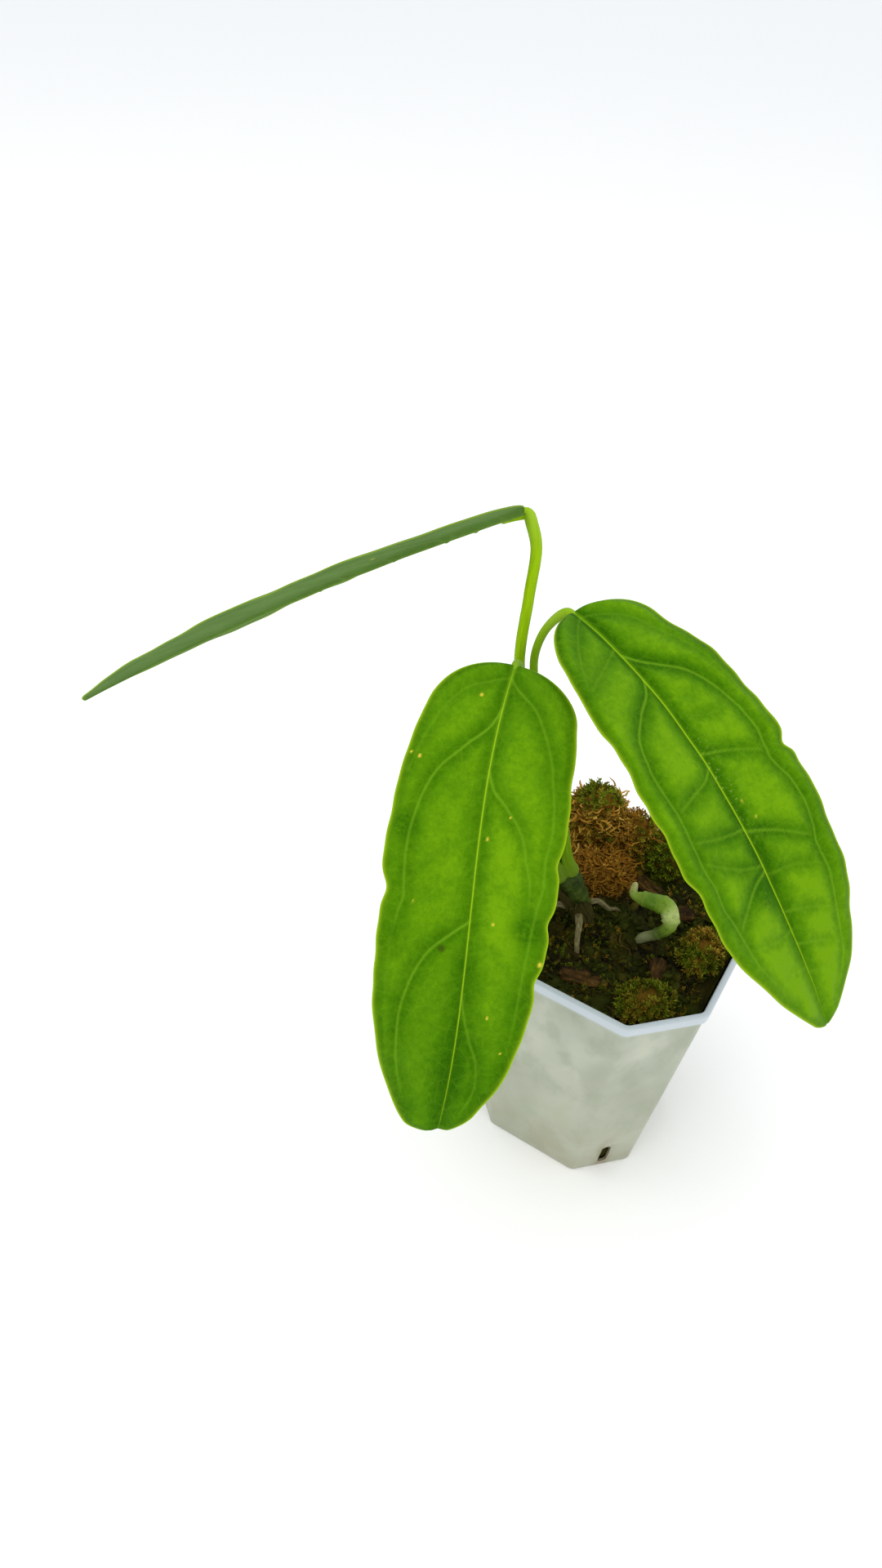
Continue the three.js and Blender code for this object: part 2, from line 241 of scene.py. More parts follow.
def makeMesh(name, shape):
    # A mesh with a shape's points and faces, and its fields as attributes.
    mesh = bpy.data.meshes.new(name)
    corners = np.concatenate([f.ravel() for f in shape["faces"]]).astype(np.int32)
    sizes = np.concatenate([np.full(len(f), f.shape[1]) for f in shape["faces"]])
    starts = np.concatenate([[0], np.cumsum(sizes)[:-1]]).astype(np.int32)
    mesh.vertices.add(len(shape["points"]))
    mesh.vertices.foreach_set("co", shape["points"].astype(np.float32).ravel())
    mesh.loops.add(len(corners))
    mesh.loops.foreach_set("vertex_index", corners)
    mesh.polygons.add(len(starts))
    mesh.polygons.foreach_set("loop_start", starts)
    mesh.update(calc_edges=True)
    for field, values in shape.get("fields", {}).items():
        kind, key = ("FLOAT_VECTOR", "vector") if values.ndim > 1 else ("FLOAT", "value")
        layer = mesh.attributes.new(field, kind, "POINT")
        layer.data.foreach_set(key, values.astype(np.float32).ravel())
    mesh.validate()
    return mesh


def makePiece(name, shape, finish, nodes=(), sharp=None):
    # A finished piece: its mesh, finish and slot, the body it rides on and the nodes it stands for.
    mesh = shape if isinstance(shape, bpy.types.Mesh) else makeMesh(name, shape)
    mesh.shade_smooth()
    if sharp is not None:
        mesh.set_sharp_from_angle(angle=math.radians(sharp))
    mesh.materials.clear()
    mesh.materials.append(finish)
    piece = bpy.data.objects.new(name, mesh)
    bpy.context.scene.collection.objects.link(piece)
    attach(piece, "root")
    if nodes:
        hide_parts(*nodes)
    return piece


# small tools for finishes

def shade(red, green, blue):
    # A display colour from 0 to 255 as the linear colour a shader takes.
    c = np.array([red, green, blue]) / 255
    linear = np.where(c <= 0.04045, c / 12.92, ((c + 0.055) / 1.055) ** 2.4)
    return (*map(float, linear), 1.0)


class Value:
    # A node's output that can be added, taken away, multiplied and divided as a number.
    def __init__(self, finish, socket):
        self.finish, self.socket = finish, socket

    def maths(self, operation, first, second):
        # The node that adds, takes away or multiplies.
        return self.finish.node("ShaderNodeMath", {"operation": operation}, {0: first, 1: second})

    def __add__(self, other):
        return self.maths("ADD", self, other)

    def __radd__(self, other):
        return self.maths("ADD", other, self)

    def __sub__(self, other):
        return self.maths("SUBTRACT", self, other)

    def __rsub__(self, other):
        return self.maths("SUBTRACT", other, self)

    def __mul__(self, other):
        return self.maths("MULTIPLY", self, other)

    def __rmul__(self, other):
        return self.maths("MULTIPLY", other, self)

    def size(self):
        # The number without its sign.
        return self.maths("ABSOLUTE", self, 0.0)

    def step(self, low, high):
        # 0 below low and 1 above high, with a smooth step between.
        return self.finish.node("ShaderNodeMapRange", {"interpolation_type": "SMOOTHSTEP"},
                                {"Value": self, "From Min": low, "From Max": high})


class Finish:
    # A material made node by node round one Principled shader.
    def __init__(self, name, uniform):
        self.material = bpy.data.materials.new(name)
        self.material.use_nodes = True
        self.tree = self.material.node_tree
        self.tree.nodes.clear()
        self.shader = self.tree.nodes.new("ShaderNodeBsdfPrincipled")
        self.out = self.tree.nodes.new("ShaderNodeOutputMaterial")
        self.tree.links.new(self.shader.outputs[0], self.out.inputs["Surface"])
        for socket, value in uniform.items():
            self.shader.inputs[socket].default_value = value

    def node(self, kind, settings={}, sockets={}, output=0):
        # A node with its settings, then its sockets fed; the value is that of one of its outputs.
        made = self.tree.nodes.new(kind)
        for key, value in settings.items():
            if key == "stops":
                ramp = made.color_ramp
                while len(ramp.elements) < len(value):
                    ramp.elements.new(1.0)
                for element, (place, colour) in zip(ramp.elements, value):
                    element.position, element.color = place, colour
            else:
                setattr(made, key, value)
        for key, value in sockets.items():
            self.feed(made.inputs[key], value)
        return Value(self, made.outputs[output])

    def feed(self, socket, value):
        if isinstance(value, Value):
            self.tree.links.new(value.socket, socket)
        else:
            socket.default_value = value

    def field(self, name, output=2):
        # A value that the mesh carries; output 1 is a vector, 2 a number.
        return self.node("ShaderNodeAttribute", {"attribute_name": name}, output=output)

    def place(self):
        # The point's own place in metres.
        return self.node("ShaderNodeTexCoord", output=3)

    def stretched(self, place, scale):
        # The place scaled along its axes: under 1 draws a pattern out, over 1 presses it together.
        return self.node("ShaderNodeMapping", {}, {"Vector": place, "Scale": scale})

    def noise(self, place, size, detail=3.0, rough=0.55, distortion=0.0):
        # Cloudy noise from 0 to 1 with patches about size metres across.
        return self.node("ShaderNodeTexNoise", {},
                         {"Vector": place, "Scale": 1 / size, "Detail": detail, "Roughness": rough,
                          "Distortion": distortion})

    def edges(self, place, size, width):
        # 1 on the lines between cells about size metres across, falling to 0 at width.
        cells = self.node("ShaderNodeTexVoronoi", {"feature": "DISTANCE_TO_EDGE"},
                          {"Vector": place, "Scale": 1 / size})
        return 1 - cells.step(0.0, width)

    def ramp(self, value, *stops):
        # A colour ramp; a stop is its place and its display colour.
        return self.node("ShaderNodeValToRGB", {"stops": [(at, shade(*rgb)) for at, *rgb in stops]},
                         {"Fac": value})

    def blend(self, share, first, second):
        # The first colour, with a share of the second; a display colour may be given as a triple.
        first, second = (shade(*c) if isinstance(c, tuple) else c for c in (first, second))
        return self.node("ShaderNodeMix", {"data_type": "RGBA", "blend_type": "MIX"},
                         {0: share, 6: first, 7: second}, output=2)

    def layered(self, colour, *layers):
        # A colour with others laid over it in turn, each by its own share.
        for share, over in layers:
            colour = self.blend(share, colour, over)
        return colour

    def dress(self, colour, gloss, height, depth):
        # Joins the shader's colour and roughness, and a bump from a height of that depth in metres.
        self.feed(self.shader.inputs["Base Color"], colour)
        self.feed(self.shader.inputs["Roughness"], gloss)
        bump = self.node("ShaderNodeBump", {}, {"Height": height, "Distance": depth})
        self.feed(self.shader.inputs["Normal"], bump)
        return self.material

    def lightThrough(self, share, colour):
        # Lets a share of the light come through from behind, tinted.
        through = self.node("ShaderNodeBsdfTranslucent", {}, {"Color": shade(*colour)})
        mixed = self.node("ShaderNodeMixShader", {},
                          {0: share, 1: Value(self, self.shader.outputs[0]), 2: through})
        self.tree.links.new(mixed.socket, self.out.inputs["Surface"])
        return self.material


print("tools ready")


# camera, floor and light

view = {"place": (0.0557, -0.2074, 0.3296), "turn": 29.7, "down": 41.8, "roll": 3.6, "lens": 23.21}


def setCamera():
    # Placed, turned about the upright, tipped down from level and rolled.
    data = bpy.data.cameras.new("camera")
    data.lens, data.sensor_width, data.clip_start = view["lens"], 36, 0.01
    camera = bpy.data.objects.new("camera", data)
    turn, tip, roll = (math.radians(a) for a in (view["turn"], 90 - view["down"], view["roll"]))
    camera.matrix_world = (Matrix.Translation(view["place"]) @ Matrix.Rotation(turn, 4, "Z")
                           @ Matrix.Rotation(tip, 4, "X") @ Matrix.Rotation(roll, 4, "Z"))
    bpy.context.scene.collection.objects.link(camera)
    bpy.context.scene.camera = camera


room = {"floorHalf": 8.0, "floorShade": (250, 250, 249), "skyStrength": 0.98, "skyShade": (249, 252, 255)}
lamps = [
    # name, place, aims at, size, power, shade
    ("overheadSoftbox", (-0.35, -0.55, 1.5), (-0.02, -0.02, 0.1), 1.3, 9.5, (255, 252, 246)),
    ("sideSoftbox", (1.3, -0.2, 0.9), (0, 0, 0.1), 1.1, 2.8, (255, 248, 234)),
]


def setRoom():
    # A pale paper floor, an even sky and two softboxes.
    half = room["floorHalf"]
    corners = np.array([[-half, -half, 0], [half, -half, 0], [half, half, 0], [-half, half, 0]])
    mesh = makeMesh("floor", {"points": corners, "faces": [np.array([[0, 1, 2, 3]])]})
    paper = Finish("palePaper", {"Roughness": 0.9})
    grain = paper.noise(paper.place(), 0.0012, 4)
    colour = paper.blend(grain, room["floorShade"], (253, 253, 252))
    mesh.materials.append(paper.dress(colour, 0.9, grain, 0.00002))
    floor = bpy.data.objects.new("floor", mesh)
    bpy.context.scene.collection.objects.link(floor)
    world = bpy.data.worlds.new("studio")
    world.use_nodes = True
    sky = world.node_tree.nodes["Background"]
    sky.inputs["Color"].default_value = shade(*room["skyShade"])
    sky.inputs["Strength"].default_value = room["skyStrength"]
    bpy.context.scene.world = world
    for name, place, aim, size, power, colour in lamps:
        data = bpy.data.lights.new(name, "AREA")
        data.shape, data.size, data.energy, data.color = "SQUARE", size, power, shade(*colour)[:3]
        lamp = bpy.data.objects.new(name, data)
        lamp.location = place
        lamp.rotation_euler = (Vector(aim) - Vector(place)).to_track_quat("-Z", "Y").to_euler()
        bpy.context.scene.collection.objects.link(lamp)
    bpy.context.scene.view_settings.view_transform = "Standard"


setCamera()
setRoom()
print("camera, floor and light set")


# pot

pot = {
    "rimWidth": boxSize("pot")[0], "rimCorner": 17, "baseWidth": 61, "baseCorner": 14.5,
    "height": boxSize("pot")[2],
    "wall": 1.0, "floor": 1.5, "lipHeight": 4, "lipProud": 0.8, "cornerRound": 3.2,
    "slotWidth": 3.2, "slotLow": 3, "slotHigh": 15, "drainLength": 11, "drainWidth": 3,
    "drainRadius": 17, "footRing": 7, "footRecess": 0.5, "warp": 0.16,
}
perArc, perFlat = 7, 10


def potOutline(z, inset, scale=1.0):
    # The square with cut corners at a height, moved in by inset: a smaller such outline, plus a
    # circle's radius all round, so that the eight upright edges are rounded. In millimetres.
    share = z / pot["height"]
    root2 = math.sqrt(2)
    width = pot["baseWidth"] + (pot["rimWidth"] - 2 * pot["lipProud"] - pot["baseWidth"]) * share
    rimCorner = pot["rimCorner"] - pot["lipProud"] * (2 - root2)
    corner = pot["baseCorner"] + (rimCorner - pot["baseCorner"]) * share - inset * (2 - root2)
    half = width / 2 - inset
    rounding = max(pot["cornerRound"] - inset * 0.6, 1.2)
    flat, cut = half - rounding, (2 * half - corner) / root2 - rounding
    arcs = []
    for k in range(8):
        near, far = (flat, cut) if k % 2 == 0 else (cut, flat)
        a, b = math.radians(45 * k), math.radians(45 * k + 45)
        middle = np.array([near * math.sin(b) - far * math.sin(a),
                           far * math.cos(a) - near * math.cos(b)]) / math.sin(math.radians(45))
        turn = np.linspace(a, b, perArc)
        arcs.append(middle + rounding * np.stack([np.cos(turn), np.sin(turn)], -1))
    points = []
    for k in range(8):
        points.append(arcs[k])
        run = np.linspace(0, 1, perFlat + 1)[1:-1, None]
        points.append(arcs[k][-1] * (1 - run) + arcs[(k + 1) % 8][0] * run)
    flatPoints = np.vstack(points) * scale
    return np.column_stack([flatPoints, np.full(len(flatPoints), float(z))])


def potShell():
    # Outlines carried from the middle of the underside out, up the wall, round the lip, down the
    # inside and in to the middle of the floor.
    wall, floor, top = pot["wall"], pot["floor"], pot["height"]
    proud, low = pot["lipProud"], top - pot["lipHeight"]
    ringShare = 1 - pot["footRing"] / (pot["baseWidth"] / 2)
    rows = [potOutline(pot["footRecess"], 0, s) for s in (0.02, 0.3, ringShare - 0.02)]
    rows += [potOutline(0, 0, ringShare), potOutline(0, 0, (ringShare + 0.96) / 2), potOutline(0, 0.9)]
    rows += [potOutline(0.9 - 0.9 * math.sin(t), 0.9 - 0.9 * math.cos(t)) for t in (1.2, 0.8, 0.4)]
    rows += [potOutline(z, 0) for z in np.linspace(0.9, low - 0.5, 34)]
    rows += [potOutline(low - 0.1, -0.15), potOutline(low, -proud + 0.25), potOutline(low + 0.25, -proud)]
    rows += [potOutline(z, -proud) for z in np.linspace(low + 0.8, top - 0.7, 4)]
    middle, bead = (wall - proud) / 2, (wall + proud) / 2
    rows += [potOutline(top - bead * 0.8 * (1 - math.sin(t)), middle - bead * math.cos(t))
             for t in np.linspace(0.25, math.pi - 0.25, 9)]
    rows += [potOutline(z, wall) for z in np.linspace(top - 1.2, floor + 1.2, 30)]
    rows += [potOutline(floor + 0.5, wall + 0.2), potOutline(floor, wall + 0.9)]
    rows += [potOutline(floor, wall + 0.9, s) for s in (0.9, 0.6, 0.3, 0.02)]
    rings = np.array(rows)
    pushed = swell(rings + 50, 26) * pot["warp"] * ease(rings[..., 2], 4, 40)
    rings[..., :2] *= 1 + (pushed / 38)[..., None]
    return skin(rings * mm)


def upright(outline, low, high):
    # A straight block over a flat outline.
    rings = np.array([np.column_stack([outline, np.full(len(outline), z)]) for z in (low, high)])
    return skin(rings)


def stadium(length, width):
    # A slot's outline: two half circles joined by straight sides, along X.
    turn = np.linspace(-np.pi / 2, np.pi / 2, 9)
    end = np.column_stack([np.cos(turn), np.sin(turn)]) * width / 2 + [(length - width) / 2, 0]
    return np.vstack([end, -end])


def potCutters():
    # Four upright slots through the cut corners and four lying slots through the floor.
    cutters = []
    middle = (pot["slotLow"] + pot["slotHigh"]) / 2
    reach = np.abs(potOutline(middle, pot["wall"] / 2)[:, :2]).sum(1).max() / math.sqrt(2)
    for k in range(4):
        slot = upright(stadium(pot["slotHigh"] - pot["slotLow"], pot["slotWidth"]), -4, 4)
        x, y, z = slot["points"].T
        slot["points"] = np.column_stack([z + reach, y, -x + middle])
        drain = upright(stadium(pot["drainLength"], pot["drainWidth"]), -3, 6)
        drain["points"] = drain["points"] + [pot["drainRadius"], 0, 0]
        for cutter, turn in ((slot, math.pi / 4), (drain, 0)):
            spin = aboutUpright(turn + k * math.pi / 2)
            cutters.append(outward({**cutter, "points": cutter["points"] @ spin * mm, "fields": {}}))
    return joined(*cutters)


def cutPot():
    # The shell less the slots.
    shell = bpy.data.objects.new("shell", makeMesh("shell", potShell()))
    cutter = bpy.data.objects.new("cutter", makeMesh("cutter", potCutters()))
    for o in (shell, cutter):
        bpy.context.scene.collection.objects.link(o)
    cut = shell.modifiers.new("slots", "BOOLEAN")
    cut.operation, cut.object, cut.solver = "DIFFERENCE", cutter, "EXACT"
    bpy.context.view_layer.update()
    graph = bpy.context.evaluated_depsgraph_get()
    mesh = bpy.data.meshes.new_from_object(shell.evaluated_get(graph))
    mesh.name = "nurseryPot"
    for o in (shell, cutter):
        bpy.data.objects.remove(o)
    return mesh


def potPlastic():
    # Frosted white plastic: faint grey-green clouding where the damp medium shows through, a warm
    # stain low down and round the slots, fine scuffs, and a cleaner, bluish rim.
    f = Finish("frostedPlastic", {"Specular IOR Level": 0.42, "Coat Weight": 0.12, "Coat Roughness": 0.25})
    place = f.place()
    east, north, height = (f.node("ShaderNodeSeparateXYZ", sockets={0: place}, output=k) for k in range(3))
    cloud = f.noise(f.stretched(place, (1, 1, 0.7)), 0.026, 3, 0.5, 0.5)
    blots = f.noise(f.stretched(place, (1, 1, 0.6)), 0.009, 3, 0.6)
    grain = f.noise(place, 0.0009, 3)
    scuffs = f.noise(f.stretched(place, (1, 1, 9)), 0.006, 4, 0.7)
    stain = (1 - height.step(0.004, 0.045)) * f.noise(place, 0.013, 4).step(0.4, 0.66)
    fromCorner = (east.size() - north.size()).size()
    stainedCorner = (1 - fromCorner.step(0.0015, 0.006)) * (1 - height.step(0.012, 0.026))
    colour = f.layered(
        f.ramp(cloud, (0.28, 146, 152, 130), (0.45, 164, 169, 150), (0.62, 180, 184, 166),
               (0.8, 168, 174, 146)),
        (blots.step(0.46, 0.68) * 0.42, (136, 146, 122)),                   # damp
        (stain * 0.6, (158, 146, 118)),
        ((1 - height.step(0.02, 0.085)) * 0.4, (146, 152, 126)),            # darker low down
        (stainedCorner * blots.step(0.3, 0.6) * 0.7, (124, 106, 70)),
        (height.step(0.0935, 0.097) * 0.85, (192, 202, 212)),               # the rim
        (scuffs.step(0.62, 0.7) * 0.2, (204, 208, 200)))
    gloss = 0.36 + grain * 0.16 + scuffs.step(0.55, 0.7) * 0.15
    return f.dress(colour, gloss, grain * 0.3 + scuffs * 0.5, 0.00006)


makePiece("nurseryPot", cutPot(), potPlastic(), ["pot"], sharp=34)
print("pot made")


# growing medium

medium = {
    "top": 93, "inset": 1.25, "bottom": 1.8, "settled": 0.6, "lumps": 1.6, "lumpSize": 9,
    "crumbLumps": 0.7, "crumbLumpSize": 2.3, "heap": 8.5, "heapAt": (-17, 24), "heapReach": 14,
    "warmAt": (-17, 19), "warmReach": 19, "rimDip": 1.2, "crumbs": 900, "fibres": 420,
    "halfWidth": 36.5, "halfDiagonal": 57,      # how far the loose pieces lie from the middle
}


def mediumHeight(x, y):
    # The lie of the medium: level, with lumps of two sizes, a heap at the rear left and a slight dip
    # at the wall. All in millimetres.
    flat = np.stack([x, y, np.zeros_like(x)], -1)
    lumps = medium["lumps"] * roughness(flat + 31, medium["lumpSize"], 3)
    crumbs = medium["crumbLumps"] * np.abs(swell(flat + 11, medium["crumbLumpSize"]))
    away = np.hypot(x - medium["heapAt"][0], y - medium["heapAt"][1]) / medium["heapReach"]
    heap = medium["heap"] * np.exp(-away ** 2)
    return medium["top"] + lumps + crumbs + heap - medium["settled"]


def mediumShape():
    # Outlines carried from the middle of the bottom out, up the wall, and in over the lumpy top.
    inset = medium["inset"]
    rows = [potOutline(medium["bottom"], inset, s) for s in (0.03, 0.5, 0.96)]
    rows += [potOutline(z, inset) for z in np.linspace(medium["bottom"] + 1, medium["top"] - 3, 40)]
    sides = np.array(rows)
    wander = ease(sides[..., 2], medium["bottom"], medium["bottom"] + 3)
    sides[..., :2] *= 1 - (wander * 0.012 * (1 + swell(sides + 9, 3.2)))[..., None]
    rim = potOutline(medium["top"], inset)
    shares = np.linspace(0.992, 0.01, 105)
    top = rim[None] * np.stack([shares, shares, np.ones_like(shares)], -1)[:, None]
    top[..., 2] = mediumHeight(top[..., 0], top[..., 1])
    top[..., 2] -= medium["rimDip"] * ease(shares, 0.93, 1.0)[:, None]
    rings = np.concatenate([sides, top]) * mm
    return skin(rings, tone=0.5 + 0.5 * swell(rings / mm + 5, 6), warm=warmth(rings / mm))


def keptInside(shape):
    # Draws in whatever lies below the rim and past the wall, towards the pot's middle. In metres.
    x, y, z = shape["points"].T / mm
    inset, cutShare = pot["wall"] + 0.4, 1.52
    low, high = (potOutline(level, inset)[:, 0].max() for level in (0, pot["height"]))
    half = low + (high - low) * z / pot["height"]
    east, north = np.abs(x), np.abs(y)
    past = np.maximum(np.maximum(east, north) / half, (east + north) / (half * cutShare))
    past = np.where(z < pot["height"] + 0.5, np.maximum(past, 1), 1)
    shape["points"] = shape["points"] / np.stack([past, past, np.ones_like(past)], 1)
    return shape


def warmth(points):
    # How orange the medium is: most on the heap at the rear left.
    x, y = medium["warmAt"]
    return np.exp(-(np.hypot(points[..., 0] - x, points[..., 1] - y) / medium["warmReach"]) ** 2)


def crumbShape():
    # A small angular lump: eight corners and four upper points pushed about.
    turn = roundTurn(5)
    rings = np.array([np.column_stack([r * np.cos(turn + o), r * np.sin(turn + o), np.full(5, z)])
                      for r, z, o in ((0.45, -0.5, 0), (1.0, -0.1, 0.3), (0.75, 0.42, 0.1))])
    rings += 0.22 * (rng.random(rings.shape) - 0.5)
    return skin(rings)


def randomFrames(count, lean=0.6):
    # Axes turned at random about the upright, and leant over a little.
    turn = rng.random(count) * 2 * np.pi
    up = unit(np.column_stack([lean * rng.normal(size=count), lean * rng.normal(size=count),
                               np.ones(count)]))
    side = unit(np.cross(up, np.column_stack([np.cos(turn), np.sin(turn), np.zeros(count)])))
    return np.stack([side, np.cross(up, side), up], 1)


def spotsOnMedium(count, reach=0.93):
    # Random places within the pot's outline, in millimetres: within a square with its corners cut.
    spots = (rng.random((count * 2, 2)) * 2 - 1) * 37 * reach
    away = np.abs(spots)
    inside = (away.max(1) < medium["halfWidth"] * reach) & (away.sum(1) < medium["halfDiagonal"] * reach)
    return spots[inside][:count]


def crumbs():
    # Loose lumps of many sizes, most of them small, longer than they are thick.
    spots = spotsOnMedium(medium["crumbs"])
    sizes = 0.5 + 1.5 * rng.random(len(spots)) ** 2.2
    frames = randomFrames(len(spots), 0.5)
    frames *= np.stack([1.3 + 0.6 * rng.random(len(spots)), np.full(len(spots), 0.9),
                        0.45 + 0.3 * rng.random(len(spots))], 1)[..., None]
    base = np.column_stack([spots, mediumHeight(*spots.T) + sizes * 0.15])
    return copies(crumbShape(), base * mm, frames, sizes * mm, tone=rng.random(len(spots)),
                  warm=warmth(base))


def strands(bases, headings, lengths, radii, wander, climb, steps=8, sides=4, **perStrand):
    # Thin curled strands: each runs on from its base, its heading turning a little at every step,
    # with a slender ring of points at each step and pointed ends.
    count = len(bases)
    turn = headings[:, None] + np.cumsum(wander * rng.normal(size=(count, steps)), 1)
    rise = climb[:, None] + 0.35 * rng.normal(size=(count, steps))
    stride = (lengths / steps)[:, None]
    moves = np.stack([np.cos(turn) * stride, np.sin(turn) * stride, rise * stride], -1)
    line = bases[:, None] + np.cumsum(moves, 1)
    along = unit(np.gradient(line, axis=1))
    side = unit(np.cross(along, (0.05, 0.02, 1.0)))
    over = np.cross(side, along)
    taper = np.sin(np.pi * (np.arange(steps) + 0.6) / (steps + 0.2)) ** 0.6
    spin = roundTurn(sides)
    reach = (radii[:, None] * taper)[:, :, None, None]
    rings = line[:, :, None] + reach * (np.cos(spin)[:, None] * side[:, :, None]
                                        + 0.6 * np.sin(spin)[:, None] * over[:, :, None])
    ends = [rings[:, 0].mean(1, keepdims=True), rings.reshape(count, -1, 3),
            rings[:, -1].mean(1, keepdims=True)]
    return repeated(skin(rings[0])["faces"], np.concatenate(ends, 1), perStrand)


def fibres():
    # Thin roots and husk fibres that lie on the medium.
    spots = spotsOnMedium(medium["fibres"], 0.88)
    count = len(spots)
    base = np.column_stack([spots, mediumHeight(*spots.T) + 0.5])
    return strands(base * mm, rng.random(count) * 6.28, (4 + 8 * rng.random(count)) * mm,
                   (0.14 + 0.2 * rng.random(count)) * mm, 0.45, -0.02 + 0.1 * rng.random(count),
                   tone=rng.random(count), warm=warmth(base) * 0.8)


def mediumFinish():
    # Damp dark-brown fibre and crumbled bark, orange where dead moss is mixed in, olive here and there.
    f = Finish("dampMedium", {"Specular IOR Level": 0.1})
    place, tone, warm = f.place(), f.field("tone"), f.field("warm")
    specks = f.noise(place, 0.0022, 5, 0.7)
    patches = f.noise(place, 0.011, 3)
    dark = f.ramp(tone * 0.6 + specks * 0.5, (0.2, 14, 13, 2), (0.5, 33, 29, 5),
                                             (0.75, 60, 53, 9), (1.0, 98, 84, 24))
    bright = f.ramp(tone * 0.5 + specks * 0.6, (0.2, 74, 46, 6), (0.5, 126, 88, 18),
                                               (0.8, 162, 122, 36), (1.0, 188, 156, 70))
    colour = f.blend(warm.step(0.25, 0.8), dark, bright)
    olive = patches.step(0.42, 0.6) * (1 - warm.step(0.3, 0.6)) * 0.7
    colour = f.blend(olive, colour, (50, 58, 5))
    return f.dress(colour, 0.75 + specks * 0.2, specks, 0.0006)


mediumLook = mediumFinish()
makePiece("growingMedium", joined(mediumShape(), keptInside(crumbs())), mediumLook,
          ["growing_medium"])
makePiece("mediumFibres", keptInside(fibres()), mediumLook)
print("growing medium made")


# bark chips

opening = 41.99     # the opening's reach into its cut corners, in millimetres
chips = [
    # place as shares of the opening, size (length, width, thickness), turn and tilt in degrees
    ((0.42, 0.31), (10, 5, 2.6), 40, 8), ((0.12, 0.42), (10, 5, 3), -20, 6),
    ((0.06, -0.62), (12, 5, 2.6), 15, 6), ((0.49, -0.26), (9, 4.6, 2.4), 100, 5),
    ((-0.47, 0.05), (8, 4, 2.2), 75, 6),
]


def squared(cosine, power):
    # A cosine raised to a power with its sign kept: the lower the power, the squarer the shape.
    return np.sign(cosine) * np.abs(cosine) ** power


def chipShape(place, size, turn, tilt):
    # A flat, blunt-ended block: a sphere pressed towards a box by raising its cosines to a low power,
    # then furrowed along its length and broken at its ends.
    polar = crowdedEnds(30)[:, None] * np.pi
    about = roundTurn(48)[None]
    x = squared(np.cos(polar), 0.45) + 0 * about
    y = squared(np.sin(polar), 0.5) * squared(np.cos(about), 0.55)
    z = squared(np.sin(polar), 0.5) * squared(np.sin(about), 0.6)
    points = np.stack([x, y, z], -1) * np.array(size) / 2
    seed = place[0] * 90
    furrows = roughness(points * [0.28, 1.6, 1.6] + seed, 1.5, 3)
    broken = roughness(points + seed + 20, 2.6, 3)
    points *= 1 + 0.12 * furrows[..., None] * [0.1, 1, 1.6] + 0.14 * broken[..., None] * [1, 0.7, 0.3]
    b = math.radians(tilt)
    lean = np.array([[1, 0, 0], [0, math.cos(b), math.sin(b)], [0, -math.sin(b), math.cos(b)]])
    points = points @ lean @ aboutUpright(math.radians(turn))
    at = np.array(place) * opening
    lift = mediumHeight(at[:1], at[1:])[0] + size[2] * 0.32
    return skin((points + [*at, lift]) * mm, furrow=furrows)


def barkFinish():
    # Brown bark, paler along the ridges of its furrows.
    f = Finish("softwoodBark", {"Specular IOR Level": 0.1})
    place, furrow = f.place(), f.field("furrow")
    grain = f.noise(place, 0.0016, 5, 0.7)
    colour = f.ramp(furrow * 0.3 + grain * 0.8, (0.2, 32, 22, 8), (0.5, 72, 50, 20),
                                                (0.75, 104, 76, 36), (1.0, 134, 106, 60))
    return f.dress(colour, 0.8 + grain * 0.15, grain, 0.0005)


barkLook = barkFinish()
for number, chip in enumerate(chips, 1):
    makePiece(f"barkChip{number}", chipShape(*chip), barkLook, [f"bark_chip_{number}"])
print("bark chips made")


# moss

mossCushions = [
    # name, node, place and half sizes as shares of the opening, turn, height, how green from 0 to 1
    ("mossRear", "moss_rear", (-0.455, 0.635), (0.27, 0.23), 45, 26.5, 0.42),
    ("mossRearRight", "moss_rear_right", (0.08, 0.7), (0.25, 0.165), 0, 14.5, 0.8),
    ("mossRight", "moss_right", (0.7, 0.04), (0.215, 0.145), 90, 6.5, 0.62),
    ("mossFrontCorner", "moss_front_corner", (0.53, -0.57), (0.215, 0.155), 45, 5.2, 0.68),
    ("mossFrontLeft", "moss_front_left", (-0.5, -0.59), (0.215, 0.155), -45, 5.8, 0.6),
    ("mossLeft", "moss_left", (-0.7, 0.03), (0.215, 0.145), 90, 7.5, 0.6),
]
mossBehind = ("mossBehind", None, (-0.16, 0.7), (0.25, 0.17), 0, 18, 0.4)
dryMoss = ("dryMoss", "moss_dry", (-0.23, 0.3), (0.24, 0.19), 45, 10.5, 0.1)
moss = {
    "sprigs": 330, "sprigSize": 2.3, "leavesPerSprig": 9, "dryStrands": 420, "lowSprigs": 620,
    "drySprigs": 130, "rearStrands": 340, "behindStrands": 90,
    "plainSize": 0.215 * 0.155,                         # half sizes that take the sprigs given above
    "livingTop": (111, 118), "paintedLitTop": (110, 117),    # heights over which the tops turn green, and over which they are painted lighter as painted light
}


def cushionPoint(cushion, east, north):
    # A point on a full dome: a sphere's upper part, broadened towards its top by raising the cosine to
    # a low power, stretched to the cushion's size, its skin lumpy.
    # east and north are the angles round and up. Returns the point and the way it faces.
    at, half, turn, height = cushion[2:6]
    spread = np.cos(north) ** 0.75
    ball = np.stack([spread * np.cos(east), spread * np.sin(east), np.sin(north)], -1)
    size = np.array([half[0] * opening, half[1] * opening, height])
    lump = 1 - 0.09 + 0.09 * roughness(ball * 9 + at[0] * 50, 4.5, 3)
    points = ball * size * lump[..., None] * 0.97
    facing = unit(ball / size)
    spin = aboutUpright(math.radians(turn))
    place = np.array([at[0] * opening, at[1] * opening, medium["top"] - 0.4])
    return points @ spin + place, facing @ spin


